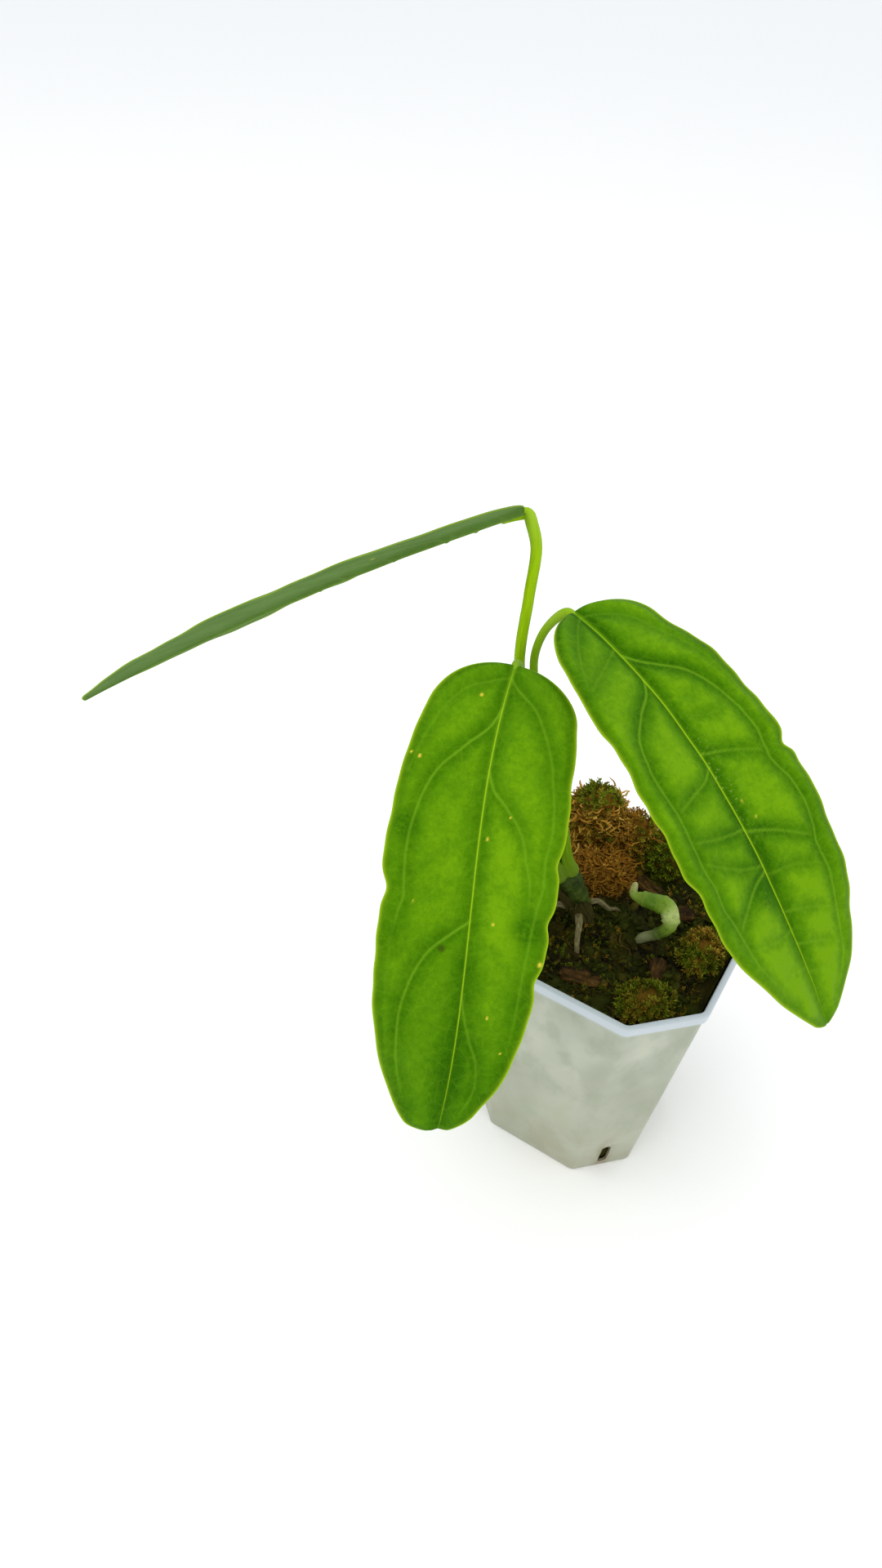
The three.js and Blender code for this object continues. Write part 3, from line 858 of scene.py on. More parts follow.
def cushionBody(cushion):
    # The cushion's inside, which shows between its sprigs: a grid of angles over its dome, darkest near the
    # medium and lighter towards its top, as painted shade and painted light.
    north = np.linspace(-0.25, 1.54, 26)[:, None] + np.zeros((1, 72))
    east = roundTurn(72)[None] + np.zeros((26, 1))
    points, facing = cushionPoint(cushion, east, north)
    # Painted light and shade: the body is darkest near the medium and lighter towards its top.
    tone = 0.4 * ease(points[..., 2], medium["top"], medium["top"] + cushion[5]) + 0.1
    return skin(points * mm, tone=tone, green=cushion[6] * 0.7)


def sprigShape():
    # A moss sprig along Z: a thin stalk with pointed leaves set round it in a spiral, each leaf a
    # pair of triangles folded along its middle.
    stalkRings = np.array([np.column_stack([r * np.cos(t), r * np.sin(t), np.full(3, z)])
                           for r, z in ((0.07, -0.4), (0.06, 0.5), (0.03, 0.95))
                           for t in [np.array([0, 2.1, 4.2])]])
    stalk = skin(stalkRings, tip=np.array([[0.1], [0.5], [0.9]]))
    count = moss["leavesPerSprig"]
    k = np.arange(count)
    turn, up = k * 2.4, 0.05 + 0.85 * k / count
    out = np.column_stack([np.cos(turn), np.sin(turn), np.zeros(count)])
    aside = np.column_stack([-np.sin(turn), np.cos(turn), np.zeros(count)])
    root = out * 0.04 + np.column_stack([0 * up, 0 * up, up])
    reach = (0.42 - 0.15 * up)[:, None]
    point = root + out * reach + np.array([0, 0, 0.34])
    middle = root + out * reach * 0.55 + np.array([0, 0, 0.08])
    left, right = middle + aside * 0.12 + [0, 0, 0.05], middle - aside * 0.12 + [0, 0, 0.05]
    points = np.stack([root, left, point, right, middle], 1).reshape(-1, 3)
    base = 5 * k[:, None]
    faces = np.concatenate([base + [0, 4, 1], base + [1, 4, 2], base + [0, 3, 4], base + [3, 2, 4]])
    tips = np.tile([0.2, 0.6, 1.0, 0.6, 0.5], count)
    return joined(stalk, {"points": points, "faces": [faces], "fields": {"tip": tips}})


def sprigsOver(cushion, sprig, count):
    # Sprigs set over a cushion's dome, more of them near its top, each leaning its own way.
    north = np.arcsin(0.08 + 0.92 * rng.random(count))
    east = rng.random(count) * 2 * np.pi
    points, facing = cushionPoint(cushion, east, north)
    up = unit(facing + [0, 0, 0.35] + 0.32 * rng.normal(size=facing.shape))
    side = unit(np.cross(up, rng.normal(size=up.shape)))
    frames = np.stack([side, np.cross(up, side), up], 1)
    sizes = moss["sprigSize"] * (0.65 + 0.6 * rng.random(count))
    patch = 0.5 + 0.5 * swell(points + 3, 5)
    green = np.clip(cushion[6] + 0.5 * (patch - 0.5) + 0.25 * (rng.random(count) - 0.5)
                    + 0.55 * ease(points[:, 2], *moss["livingTop"]), 0, 1)
    # The higher sprigs are painted lighter, as painted light on the tops.
    return copies(sprig, (points - facing * 0.4) * mm, frames, sizes * mm,
                  tone=rng.random(count) + 0.4 * ease(points[:, 2], *moss["paintedLitTop"]), green=green)


def mossFinish(name):
    # Moss from orange-brown, where it is dead, to olive and yellow-green at living tips.
    f = Finish(name, {"Specular IOR Level": 0.08})
    tone, green, tip = f.field("tone"), f.field("green"), f.field("tip")
    specks = f.noise(f.place(), 0.0012, 3)
    amount = tone * 0.35 + tip * 0.45 + specks * 0.3
    live = f.ramp(amount, (0.1, 22, 27, 3), (0.4, 56, 68, 7), (0.7, 98, 112, 14),
                          (1.0, 152, 160, 42))
    dead = f.ramp(amount, (0.1, 66, 40, 6), (0.4, 136, 92, 24), (0.7, 186, 138, 48),
                          (1.0, 218, 180, 92))
    return f.dress(f.blend(green.step(0.25, 0.75), dead, live), 0.7 + specks * 0.25, specks, 0.0003)


def withTip(shape, value):
    # The shape with one value for how near its points are to a sprig's tip.
    shape["fields"]["tip"] = np.full(len(shape["points"]), value)
    return shape


mossLook = mossFinish("cushionMoss")
dryLook = mossFinish("driedMoss")
sprig = sprigShape()
for cushion in mossCushions + [mossBehind]:
    name, node, place, half, turn, height, green = cushion
    size = half[0] * half[1] / moss["plainSize"] * (0.8 + height / 40)
    sprigs = sprigsOver(cushion, sprig, int(moss["sprigs"] * size))
    shape = keptInside(joined(withTip(cushionBody(cushion), 0.0), sprigs))
    makePiece(name, shape, mossLook, [node] if node else ())


def lowMoss(count):
    # Single sprigs standing in the medium between the cushions, in drifts.
    spots = spotsOnMedium(count * 2, 0.95)
    flat = np.column_stack([spots, 0 * spots[:, 0]])
    spots = spots[swell(flat + 17, 7) > -0.15][:count]
    base = np.column_stack([spots, mediumHeight(*spots.T) + 0.1])
    sizes = moss["sprigSize"] * (0.4 + 0.5 * rng.random(len(spots)))
    return keptInside(copies(sprig, base * mm, randomFrames(len(spots), 0.35), sizes * mm,
                             tone=rng.random(len(spots)) * 0.7,
                             green=0.42 + 0.5 * rng.random(len(spots))))


makePiece("lowMoss", lowMoss(moss["lowSprigs"]), mossLook)


def dryStrands(cushion, count, low, high, bright=1.0):
    # Curled strands of dried moss lying over a cushion's dome.
    north = low + (high - low) * rng.random(count)
    east = rng.random(count) * 2 * np.pi
    points, facing = cushionPoint(cushion, east, north)
    points += facing * 0.3 * rng.random((count, 1))
    heading = (np.arctan2(facing[:, 1], facing[:, 0]) + rng.choice([-1.4, 1.4], count)
               + 0.5 * rng.normal(size=count))
    shape = strands(points * mm, heading, (3 + 4.5 * rng.random(count)) * mm,
                    (0.22 + 0.3 * rng.random(count)) * mm, 0.5, 0.05 + 0.15 * rng.normal(size=count),
                    steps=9, tone=bright * rng.random(count), green=0.1 + 0.35 * rng.random(count) ** 2)
    return withTip(shape, 0.6 * bright)


drySprigs = sprigsOver(dryMoss, sprig, moss["drySprigs"])
dryHeap = joined(withTip(cushionBody(dryMoss), 0.2),
                 dryStrands(dryMoss, moss["dryStrands"], 0.0, 1.5, 0.55), drySprigs)
makePiece("dryMoss", keptInside(dryHeap), dryLook, ["moss_dry"])
rearStrands = joined(dryStrands(mossCushions[0], moss["rearStrands"], 0.0, 1.0, 1.15),
                     dryStrands(mossBehind, moss["behindStrands"], 0.1, 1.2, 0.7))
makePiece("dryMossRear", keptInside(rearStrands), dryLook)
print("moss made")


# stem, shoot and roots

stem = {
    "foot": (-7.14, -4.20, 93), "top": (-14.14, -8.20, 112), "crown": (-0.6, -0.3, 1.4), "buried": 6,
    "radii": [(0, 3.2), (0.5, 3.9), (1, 4.4)], "scars": (0.42, 0.58, 0.71, 0.82),
    "lumps": (0.05, 2.4, 3, 4), "stalkRing": 2.4,
}
sheaths = [
    # turn in degrees, where it starts and ends as shares of the stem, half spread in degrees, flare
    (150, 0.15, 0.85, 62, 1.6), (-35, 0.05, 0.6, 70, 1.2), (262, 0.3, 0.98, 48, 1.1),
]
stemFoot, stemTop = np.array(stem["foot"]), np.array(stem["top"])
stemRise = stemTop[2] - stemFoot[2]


def limbSkin(course, radii, sides, around, lumps, stretch=1.0, section=1.0, **fields):
    # A closed limb: rings round a course, domed at its ends and made lumpy, carrying its share of the
    # length and its skin laid flat. Lumps are their height, size and octaves, and where they start.
    height, size, octaves, start = lumps
    run = lengthAlong(course)
    rings = limbRings(course, roundedEnds(radii, run), sides, section)
    middle = course[:, None]
    lump = height * roughness(rings * stretch + start, size, octaves)
    rings = middle + (rings - middle) * (1 + lump)[..., None]
    return skin(rings * mm, share=(run / run[-1])[:, None], flat=flatMap(run, sides, around), **fields)


def stemShape():
    # A short thick limb with leaf scars: rings where its radius swells and is nicked.
    points = [stemFoot - [0, 0, stem["buried"]], stemFoot, stemTop, stemTop + stem["crown"]]
    course, run, share = limbCourse(points, 110)
    scars = sum(np.exp(-((share - s) / 0.018) ** 2) - 0.7 * np.exp(-((share - s - 0.035) / 0.012) ** 2)
                for s in stem["scars"])
    radii = throughStations(stem["radii"], share) * (1 + 0.075 * scars)
    return limbSkin(course, radii, 64, 3.8, stem["lumps"])


def flatMap(run, sides, radius):
    # A limb's skin laid flat in metres: round it, along it, 0. The round part is folded back at half
    # way, so that the pattern meets itself at the seam.
    turn = np.linspace(0, 2, sides, endpoint=False)
    around = np.abs(turn - 1) * math.pi * radius
    return np.stack(np.broadcast_arrays(around[None], run[:, None], 0.0), -1) * mm


def sheathShape(turn, low, high, spread, flare):
    # A papery sheath clasping the stem: a curved sheet over part of a turn, wider and flared at its
    # torn top, given a thickness by a second skin just inside the first.
    rows, cols = 40, 48
    up, across = np.meshgrid(np.linspace(0, 1, rows), np.linspace(-1, 1, cols), indexing="ij")
    torn = swell(np.stack([across * 9, 0 * up + turn, 0 * up], -1), 1.0)
    ragged = 1 - 0.35 * np.abs(across) ** 1.7 - 0.06 * torn
    share = low + (high - low) * up * ragged
    axis = stemFoot + (stemTop - stemFoot) * share[..., None]
    angle = math.radians(turn) + across * math.radians(spread) * (1 - 0.35 * up)
    radius = 4.15 + 0.5 * share + flare * up ** 3 * (1 - 0.4 * np.abs(across))
    radius = radius + 0.18 * swell(np.stack([across * 6 + up, up * 5 + turn, 0 * up], -1), 1.3)
    out = np.stack([np.cos(angle), np.sin(angle), 0 * angle], -1)
    outer = axis + out * radius[..., None]
    inner = axis + out * (radius - 0.3)[..., None]
    rings = np.concatenate([outer, inner[:, ::-1]], 1)
    sheet = np.concatenate([across, across[:, ::-1]], 1) * 6
    run = np.concatenate([up, up], 1) * high * 20
    flat = np.stack([sheet, run, 0 * run], -1)
    return skin(rings * mm, share=2.0, flat=flat * mm)


def stemFinish():
    # Green-brown stem with scars; the papery sheaths (share 2) are tan and streaked lengthwise.
    f = Finish("stemRind", {"Specular IOR Level": 0.12})
    share, flat = f.field("share"), f.field("flat", 1)
    streaks = f.noise(f.stretched(flat, (1, 0.12, 1)), 0.0009, 4, 0.7)
    patches = f.noise(f.place(), 0.004, 3)
    green = f.ramp(patches * 0.6 + streaks * 0.4, (0.3, 34, 44, 11), (0.5, 52, 68, 16),
                                                  (0.7, 80, 94, 30))
    brown = f.ramp(streaks, (0.3, 30, 26, 8), (0.5, 60, 54, 20), (0.7, 98, 92, 44))
    colour = f.blend(share.step(1.2, 1.8), green, brown)
    low = (1 - share.step(0.2, 0.5)) * 0.6
    return f.dress(f.blend(low, colour, (52, 44, 18)), 0.5 + streaks * 0.25, streaks, 0.0003)


stemParts = joined(stemShape(), *(sheathShape(*sheath) for sheath in sheaths))
makePiece("stemAndSheaths", stemParts, stemFinish(), ["stem"])

shoot = {
    "foot": (11.97, -2.94, 93), "buried": 4,
    "course": [(0, 0, 1), (4, 1, 5), (6.5, 2.5, 9), (4, 5, 12.5), (-2, 4.7, 12.8),
               (-6.5, 4.6, 12.4), (-8, 8.6, 13.4)],
    "radii": [(0, 1.4), (0.2, 1.5), (0.36, 1.8), (0.5, 2.6), (0.7, 2.6), (0.8, 2.0), (0.88, 1.3), (1, 0.9)],
    "joints": (0.3, 0.47, 0.63, 0.79), "lumps": (0.09, 2.6, 2, 8),
}


def shootShape():
    # The curled shoot: a limb with faint joints, a blunt tip and wrinkles inside its bend.
    foot = np.array(shoot["foot"], float)
    points = [foot - [0, 0, shoot["buried"]]] + [foot + p for p in shoot["course"]]
    course, run, share = limbCourse(points, 130)
    joints = sum(np.exp(-((share - s) / 0.012) ** 2) for s in shoot["joints"])
    wrinkles = 0.02 * np.sin(share * 150) * np.exp(-((share - 0.45) / 0.08) ** 2)
    radii = throughStations(shoot["radii"], share) * (1 + 0.13 * joints + wrinkles)
    return limbSkin(course, radii, 40, 2.1, shoot["lumps"])


def shootFinish():
    # White at the foot, a whitish painted highlight at the bend, green along the top, dull and pale at the
    # stub.
    f = Finish("youngShoot", {"Specular IOR Level": 0.2})
    share, flat = f.field("share"), f.field("flat", 1)
    streaks = f.noise(f.stretched(flat, (1, 0.2, 1)), 0.0008, 3, 0.6)
    blotches = f.noise(flat, 0.0016, 4, 0.65)
    # The whitish stop at 0.52, where the shoot turns back, is a painted highlight.
    colour = f.layered(
        f.ramp(share, (0.2, 128, 132, 92), (0.33, 66, 88, 14), (0.43, 118, 146, 44), (0.52, 184, 198, 120),
               (0.6, 116, 148, 34), (0.72, 82, 118, 12), (0.86, 124, 150, 48), (0.96, 168, 162, 104)),
        (blotches.step(0.5, 0.66) * 0.45, (52, 76, 8)),
        (streaks.step(0.45, 0.7) * 0.3, (132, 150, 66)))
    return f.dress(colour, 0.4 + streaks * 0.2, streaks, 0.0002)


makePiece("youngShoot", shootShape(), shootFinish(), ["young_shoot"])

roots = [
    # turn in degrees, height where it leaves the stem, reach as a share of the opening, radius
    (-62, 4.6, 0.24, 1.1), (40, 5.2, 0.21, 0.9), (212, 4.4, 0.21, 1.0),
]


def rootShape(turn, rise, reach, radius):
    # A stubby root that leaves the stem and dips into the medium, its skin knobbly.
    out = levelWay(turn)
    start = stemFoot + (stemTop - stemFoot) * rise / stemRise + out * 2.6
    length = reach * opening + 2
    ground = mediumHeight(*(stemFoot + out * length)[:2, None])[0] + radius * 0.6
    points = [start, start + out * (length * 0.35) + [0, 0, 0.5]]
    points += [(start + out * away) * [1, 1, 0] + [0, 0, ground + lift]
               for away, lift in ((length * 0.75, 1.2), (length, 0), (length + 1.6, -1.4))]
    course = courseThrough(points, crowdedEnds(80))
    course[:, :2] += 0.5 * swell(course + turn, 4)[:, None] * [1, -1]
    run = lengthAlong(course)
    return limbSkin(course, radius * (1.05 - 0.45 * run / run[-1]), 28, radius, (0.14, 1.4, 3, 2))


def rootFinish():
    # Dry, wrinkled, pale skin, browner towards the tip.
    f = Finish("rootSkin", {"Specular IOR Level": 0.12})
    share, flat = f.field("share"), f.field("flat", 1)
    wrinkles = f.noise(f.stretched(flat, (1, 0.35, 1)), 0.0007, 4, 0.7)
    colour = f.ramp(wrinkles, (0.3, 78, 70, 40), (0.5, 118, 110, 74), (0.7, 152, 144, 106))
    colour = f.blend(share.step(0.5, 1.0) * 0.5, colour, (84, 74, 40))
    return f.dress(colour, 0.7 + wrinkles * 0.2, wrinkles, 0.0003)


rootLook = rootFinish()
for number, root in enumerate(roots, 1):
    makePiece(f"root{number}", rootShape(*root), rootLook, [f"root_{number}"])
print("stem, shoot and roots made")


# leaves

# Stalk and midrib courses are in millimetres from the stem's top, and kneeReach is how far behind and
# below the blade's start the stalk bends. Half widths are (share of the length, half width), left and
# right as seen from above with the tip away; base and tip are the shares of the length over which an end
# is drawn in to a round, left then right. Roll and fold are in degrees, wave and quilt are heights.
# Nicks are (side, share, depth, length share) in the margin. Veins are a strength and then (share, side)
# points, side running from -1 at the left margin to 1. The value after tone says how much paler the pillows
# between the veins are painted: painted light on the pillows and painted shade in the hollows. Gleam is the
# shine, margin the width, left then right, of the yellow-green band painted along the margin as rim light,
# and the list after margin holds broad places painted lighter or darker as painted light and shade:
# (share, side, length, spread, amount). Specks, holes and patches are (share, side, radius).
frontLeaf = {
    "name": "Front", "turn": -100, "stalkRadius": (1.7, 1.2, 1.3), "stalkTint": 0.35,
    "stalk": [(-5, -12, 22), (-11.5, -17, 52), (-14.4, -17.8, 72), (-14.4, -18.2, 78.4)],
    "kneeReach": (0.8, 1.3),
    "midrib": [(-13.2, -22, 81.7), (-6, -54.6, 64.5), (11, -74.6, 36), (14.4, -93.6, 4.8)],
    "halfLeft": [(0, 16.2), (0.12, 17.9), (0.2, 19), (0.36, 19.3), (0.5, 18.5), (0.62, 17.3), (0.78, 14.5),
                 (0.88, 11.6), (0.94, 8.2), (1, 5.2)],
    "halfRight": [(0, 15.6), (0.1, 16.8), (0.2, 18.9), (0.4, 20.8), (0.55, 20.4), (0.68, 20.2), (0.8, 18.4),
                  (0.9, 13.8), (0.96, 9.6), (1, 5.4)],
    "base": (0.12, 0.115), "tip": (0.045, 0.025), "roll": 0, "fold": 6, "wave": 0.45, "waves": 5,
    "tipSkew": 0.4, "tipNotch": 0.9, "quilt": 0.4,
    "tone": -0.03, "paintedPillowLight": 0.42, "gleam": 0.2, "margin": (0.42, 0.42),
    "paintedLightShade": [(0.45, -0.4, 0.16, 0.4, 0.16), (0.85, -0.1, 0.24, 1.6, -0.15)],
    "nicks": [(1, 0.5, 1.0, 0.026), (-1, 0.42, 0.9, 0.022), (-1, 0.54, 0.7, 0.02), (-1, 0.655, 1.0, 0.024),
              (-1, 0.24, 0.3, 0.03), (1, 0.8, 0.3, 0.03)],
    "veins": [
        (0.6, (0.03, 0), (0.05, 0.3), (0.09, 0.65), (0.18, 0.84), (0.33, 0.95)),
        (1.0, (0.1, 0), (0.14, 0.08), (0.2, 0.36), (0.27, 0.63), (0.36, 0.75), (0.5, 0.78), (0.62, 0.86)),
        (1.0, (0.55, 0), (0.58, 0.2), (0.63, 0.47), (0.7, 0.63), (0.8, 0.74), (0.95, 0.8)),
        (0.35, (0.56, 0.85), (0.72, 0.86), (0.9, 0.9)),
        (0.35, (0.25, 0), (0.27, 0.2), (0.29, 0.45), (0.32, 0.72)),
        (0.4, (0.38, 0), (0.41, 0.3), (0.46, 0.72)),
        (0.3, (0.44, 0), (0.48, 0.35), (0.56, 0.8)),
        (0.3, (0.68, 0), (0.73, 0.3), (0.8, 0.7)),
        (0.8, (0.03, 0), (0.06, -0.2), (0.1, -0.47), (0.18, -0.68), (0.27, -0.8), (0.42, -0.84),
         (0.58, -0.77), (0.72, -0.8), (0.85, -0.86)),
        (0.4, (0.01, 0), (0.03, -0.45), (0.08, -0.82), (0.17, -0.94), (0.3, -0.97)),
        (0.95, (0.24, 0), (0.28, -0.1), (0.31, -0.26), (0.37, -0.5), (0.45, -0.65), (0.54, -0.7)),
        (0.75, (0.7, 0), (0.74, -0.06), (0.79, -0.2), (0.85, -0.44), (0.92, -0.58), (0.97, -0.5)),
        (0.35, (0.42, 0), (0.46, -0.22), (0.5, -0.5), (0.56, -0.72)),
        (0.3, (0.58, 0), (0.61, -0.35), (0.67, -0.75)),
    ],
    "specks": [(0.085, 0.34, 0.4), (0.23, 0.94, 0.3), (0.235, 0.83, 0.38), (0.38, -0.1, 0.32),
               (0.55, -0.3, 0.32), (0.62, -0.95, 0.5), (0.74, -0.41, 0.3), (0.52, 0.66, 0.24),
               (0.81, -0.75, 0.22), (0.33, -0.33, 0.2)],
    "holes": [(0.61, 0.28, 0.8)], "patches": [(0.37, 0.83, 3.4), (0.555, -0.76, 4.0)], "scuffed": 0.0,
}
rightLeaf = {
    "name": "Right", "turn": 20, "stalkRadius": (1.7, 1.05, 1.15), "stalkTint": 0.7,
    "stalk": [(-1, -4.5, 22), (-8, -8, 48), (-13.4, -9.8, 70), (-14.8, -8.2, 77), (-13.6, -5.8, 83.6)],
    "kneeReach": (1.4, 1.1),
    "midrib": [(-7.9, -4.9, 89.5), (29.2, -14.9, 82.7), (57.6, -27.7, 58.5), (80.2, -34.3, 28.6)],
    "halfLeft": [(0, 17.6), (0.1, 17.3), (0.2, 20.8), (0.36, 23), (0.6, 22.9), (0.72, 21.8), (0.82, 18.4),
                 (0.9, 13.8), (0.95, 9), (1, 2.6)],
    "halfRight": [(0, 15), (0.08, 16.4), (0.2, 20.6), (0.4, 22.2), (0.54, 23), (0.7, 21.6), (0.8, 18.4),
                  (0.88, 13.4), (0.94, 8.4), (1, 2.8)],
    "base": (0.095, 0.11), "tip": (0.02, 0.02), "roll": 0, "fold": 6, "wave": 0.5, "waves": 6,
    "tipSkew": 0, "tipNotch": 0, "quilt": 0.9,
    "tone": -0.02, "paintedPillowLight": 0.62, "gleam": 0.06, "margin": (0.45, 0.45),
    "paintedLightShade": [(0.06, 0.2, 0.16, 1.2, -0.14), (0.62, 0.0, 0.14, 0.35, -0.16), (0.93, -0.1, 0.17, 1.6, 0.36)],
    "nicks": [(-1, 0.462, 2.3, 0.018), (-1, 0.74, 0.4, 0.03), (1, 0.3, 0.5, 0.03), (1, 0.44, 0.3, 0.02),
              (1, 0.625, 0.9, 0.03), (-1, 0.28, 0.3, 0.03), (1, 0.85, 0.3, 0.03)],
    "veins": [
        (0.55, (0.02, 0), (0.04, -0.3), (0.07, -0.55), (0.13, -0.72), (0.23, -0.84), (0.33, -0.89),
         (0.44, -0.9)),
        (1.0, (0.14, 0), (0.17, -0.12), (0.2, -0.3), (0.25, -0.56), (0.32, -0.69), (0.41, -0.74),
         (0.46, -0.72), (0.55, -0.78), (0.62, -0.79), (0.66, -0.72), (0.75, -0.75), (0.8, -0.72),
         (0.88, -0.77), (0.97, -0.6)),
        (0.9, (0.4, 0), (0.42, -0.3), (0.455, -0.72)),
        (0.95, (0.575, 0), (0.6, -0.3), (0.65, -0.72)),
        (0.6, (0.67, 0), (0.68, -0.35), (0.71, -0.72)),
        (0.65, (0.75, 0), (0.77, -0.35), (0.8, -0.72)),
        (0.65, (0.82, 0), (0.84, -0.35), (0.87, -0.76)),
        (0.5, (0.88, 0), (0.9, -0.35), (0.94, -0.68)),
        (0.45, (0.32, -0.12), (0.34, -0.4), (0.335, -0.68)),
        (0.35, (0.27, -0.02), (0.29, -0.3), (0.27, -0.55)),
        (0.3, (0.455, -0.74), (0.47, -0.86), (0.5, -0.96)),
        (0.6, (0.02, 0), (0.04, 0.3), (0.08, 0.55), (0.14, 0.76), (0.2, 0.87)),
        (0.6, (0.12, 0), (0.14, 0.25), (0.165, 0.55), (0.19, 0.84)),
        (1.0, (0.21, 0), (0.24, 0.12), (0.28, 0.42), (0.34, 0.7), (0.4, 0.76), (0.48, 0.71), (0.53, 0.74),
         (0.6, 0.76), (0.68, 0.8), (0.73, 0.75), (0.81, 0.8), (0.92, 0.8)),
        (0.9, (0.43, 0), (0.45, 0.15), (0.465, 0.42), (0.48, 0.7)),
        (0.85, (0.57, 0), (0.56, 0.35), (0.54, 0.73)),
        (0.75, (0.65, 0), (0.63, 0.35), (0.58, 0.75)),
        (0.95, (0.66, 0), (0.68, 0.3), (0.73, 0.75)),
        (0.55, (0.79, 0), (0.785, 0.4), (0.77, 0.77)),
        (0.55, (0.87, 0), (0.86, 0.45), (0.87, 0.8)),
    ],
    "specks": [(0.52, -0.12, 0.25), (0.56, -0.17, 0.25)], "holes": [], "patches": [(0.7, 0.16, 4.0)],
    "scuffed": 1.0,
}
leftHalf = [(0, 15), (0.15, 18), (0.35, 20.5), (0.6, 20), (0.8, 16), (0.93, 8.5), (1, 3)]
leftVein = [(0, 0), (0.025, 0.16), (0.07, 0.5), (0.14, 0.72), (0.26, 0.82)]     # from where it leaves
leftLeaf = {
    "name": "Left", "turn": 140, "stalkRadius": (1.7, 1.35, 1.45), "stalkTint": 1.0,
    "stalk": [(-6, -3, 22), (-12, -9, 48), (-16.5, -13, 76), (-20, -4.5, 89), (-23.0, 2.8, 98.2),
              (-26.0, 5.6, 101.8)],
    "kneeReach": (0.6, 1.7),
    "midrib": [(-29.7, 7.3, 104.6), (-58.1, -20.9, 92.4), (-91.3, -38.4, 70.6), (-120.1, -62.2, 49.4)],
    "halfLeft": leftHalf, "halfRight": leftHalf,
    "base": (0.09, 0.09), "tip": (0.03, 0.03), "roll": 33.5, "fold": 3, "wave": 0.25, "waves": 4,
    "tipSkew": 0, "tipNotch": 0, "quilt": 0.25,
    "tone": 0.0, "paintedPillowLight": 0.46, "gleam": 0.2, "margin": (0.42, 1.2),
    "paintedLightShade": [],
    "nicks": [(1, 0.33, 0.5, 0.04), (-1, 0.55, 0.6, 0.03)],
    "veins": [(strength, *((start + run, reach * side) for run, reach in leftVein)) for side in (-1, 1)
              for strength, start in ((0.6, 0.03), (1.0, 0.13 - 0.03 * side), (0.6, 0.27),
                                      (0.9, 0.4 + 0.03 * side), (0.6, 0.53), (0.8, 0.66 - 0.02 * side))],
    "specks": [(0.3, -0.4, 0.5)], "holes": [], "patches": [(0.5, -0.5, 3.5)], "scuffed": 0.2,
}
leaves = [frontLeaf, rightLeaf, leftLeaf]
blade = {"rows": 290, "cols": 161, "thickness": 0.5, "edge": 0.16, "reliefWidth": 2.9, "veinWidth": 0.31}


def midribCourse(leaf, share):
    # A cubic Bezier curve and its direction.
    a, b, c, d = (np.array(p, float) + stemTop for p in leaf["midrib"])
    t = np.asarray(share)[..., None]
    points = (1 - t) ** 3 * a + 3 * (1 - t) ** 2 * t * b + 3 * (1 - t) * t ** 2 * c + t ** 3 * d
    slope = (1 - t) ** 2 * (b - a) + 2 * (1 - t) * t * (c - b) + t ** 2 * (d - c)
    return points, unit(slope)


def lengthAt(leaf, share):
    # How far along the midrib a share of its curve lies.
    shares = np.linspace(0, 1, 200)
    return np.interp(share, shares, lengthAlong(midribCourse(leaf, shares)[0]))


def halfWidth(leaf, share, side):
    # The half width at a share of the length, on the side that side's sign gives: the stations' value,
    # drawn in to a quarter ellipse at both ends, less the nicks and a faint wandering of the margin.
    right = side > 0
    width = np.where(right, *(throughStations(leaf[key], share) for key in ("halfRight", "halfLeft")))
    for ends, distance in ((leaf["base"], share), (leaf["tip"], 1 - share)):
        reach = np.where(right, ends[1], ends[0])
        width = width * np.sqrt(np.clip(1 - (1 - np.clip(distance / reach, 0, 1)) ** 2, 1e-5, 1))
    for sign, at, depth, length in leaf["nicks"]:
        width = width - (right == (sign > 0)) * depth * np.exp(-((share - at) / length) ** 2)
    wander = 0.12 * np.sin(share * 43 + 2 * right) + 0.07 * np.sin(share * 91 + 4 * right)
    return width + wander * np.sin(np.pi * share)


def distanceToLine(points, line):
    # The least distance from flat points to a line's stretches, and how far along the line that is.
    best = np.full(points.shape[:-1], 1e3)
    along = np.zeros_like(best)
    for k, (start, step) in enumerate(zip(line[:-1], np.diff(line, axis=0))):
        u = np.clip((points - start) @ step / (step @ step), 0, 1)
        distance = np.linalg.norm(points - start - u[..., None] * step, axis=-1)
        along = np.where(distance < best, (k + u) / (len(line) - 1), along)
        best = np.minimum(best, distance)
    return best, along


def bladeVeins(leaf, share, flat):
    # How strongly each point lies on a vein, and how deep it lies in the hollow along one. Both fall off
    # like a bell with the distance from the vein's course, and towards the vein's end.
    veinLine, hollow = np.zeros_like(share), np.zeros_like(share)
    for strength, *points in leaf["veins"]:
        course = courseThrough(points, np.linspace(0, 1, 26))
        sign = np.full(len(course), np.sign(points[-1][1]))
        line = np.column_stack([course[:, 1] * halfWidth(leaf, course[:, 0], sign),
                                lengthAt(leaf, course[:, 0])])
        distance, run = distanceToLine(flat, line)
        fade = strength ** 1.6 * (1 - 0.45 * run) * ease(1 - run, 0, 0.12)
        veinLine = np.maximum(veinLine, fade * np.exp(-(distance / blade["veinWidth"]) ** 2))
        reach = blade["reliefWidth"] * (0.6 + 0.4 * strength)
        hollow = np.maximum(hollow, strength * (1 - 0.3 * run) * np.exp(-(distance / reach) ** 2))
    return veinLine, hollow


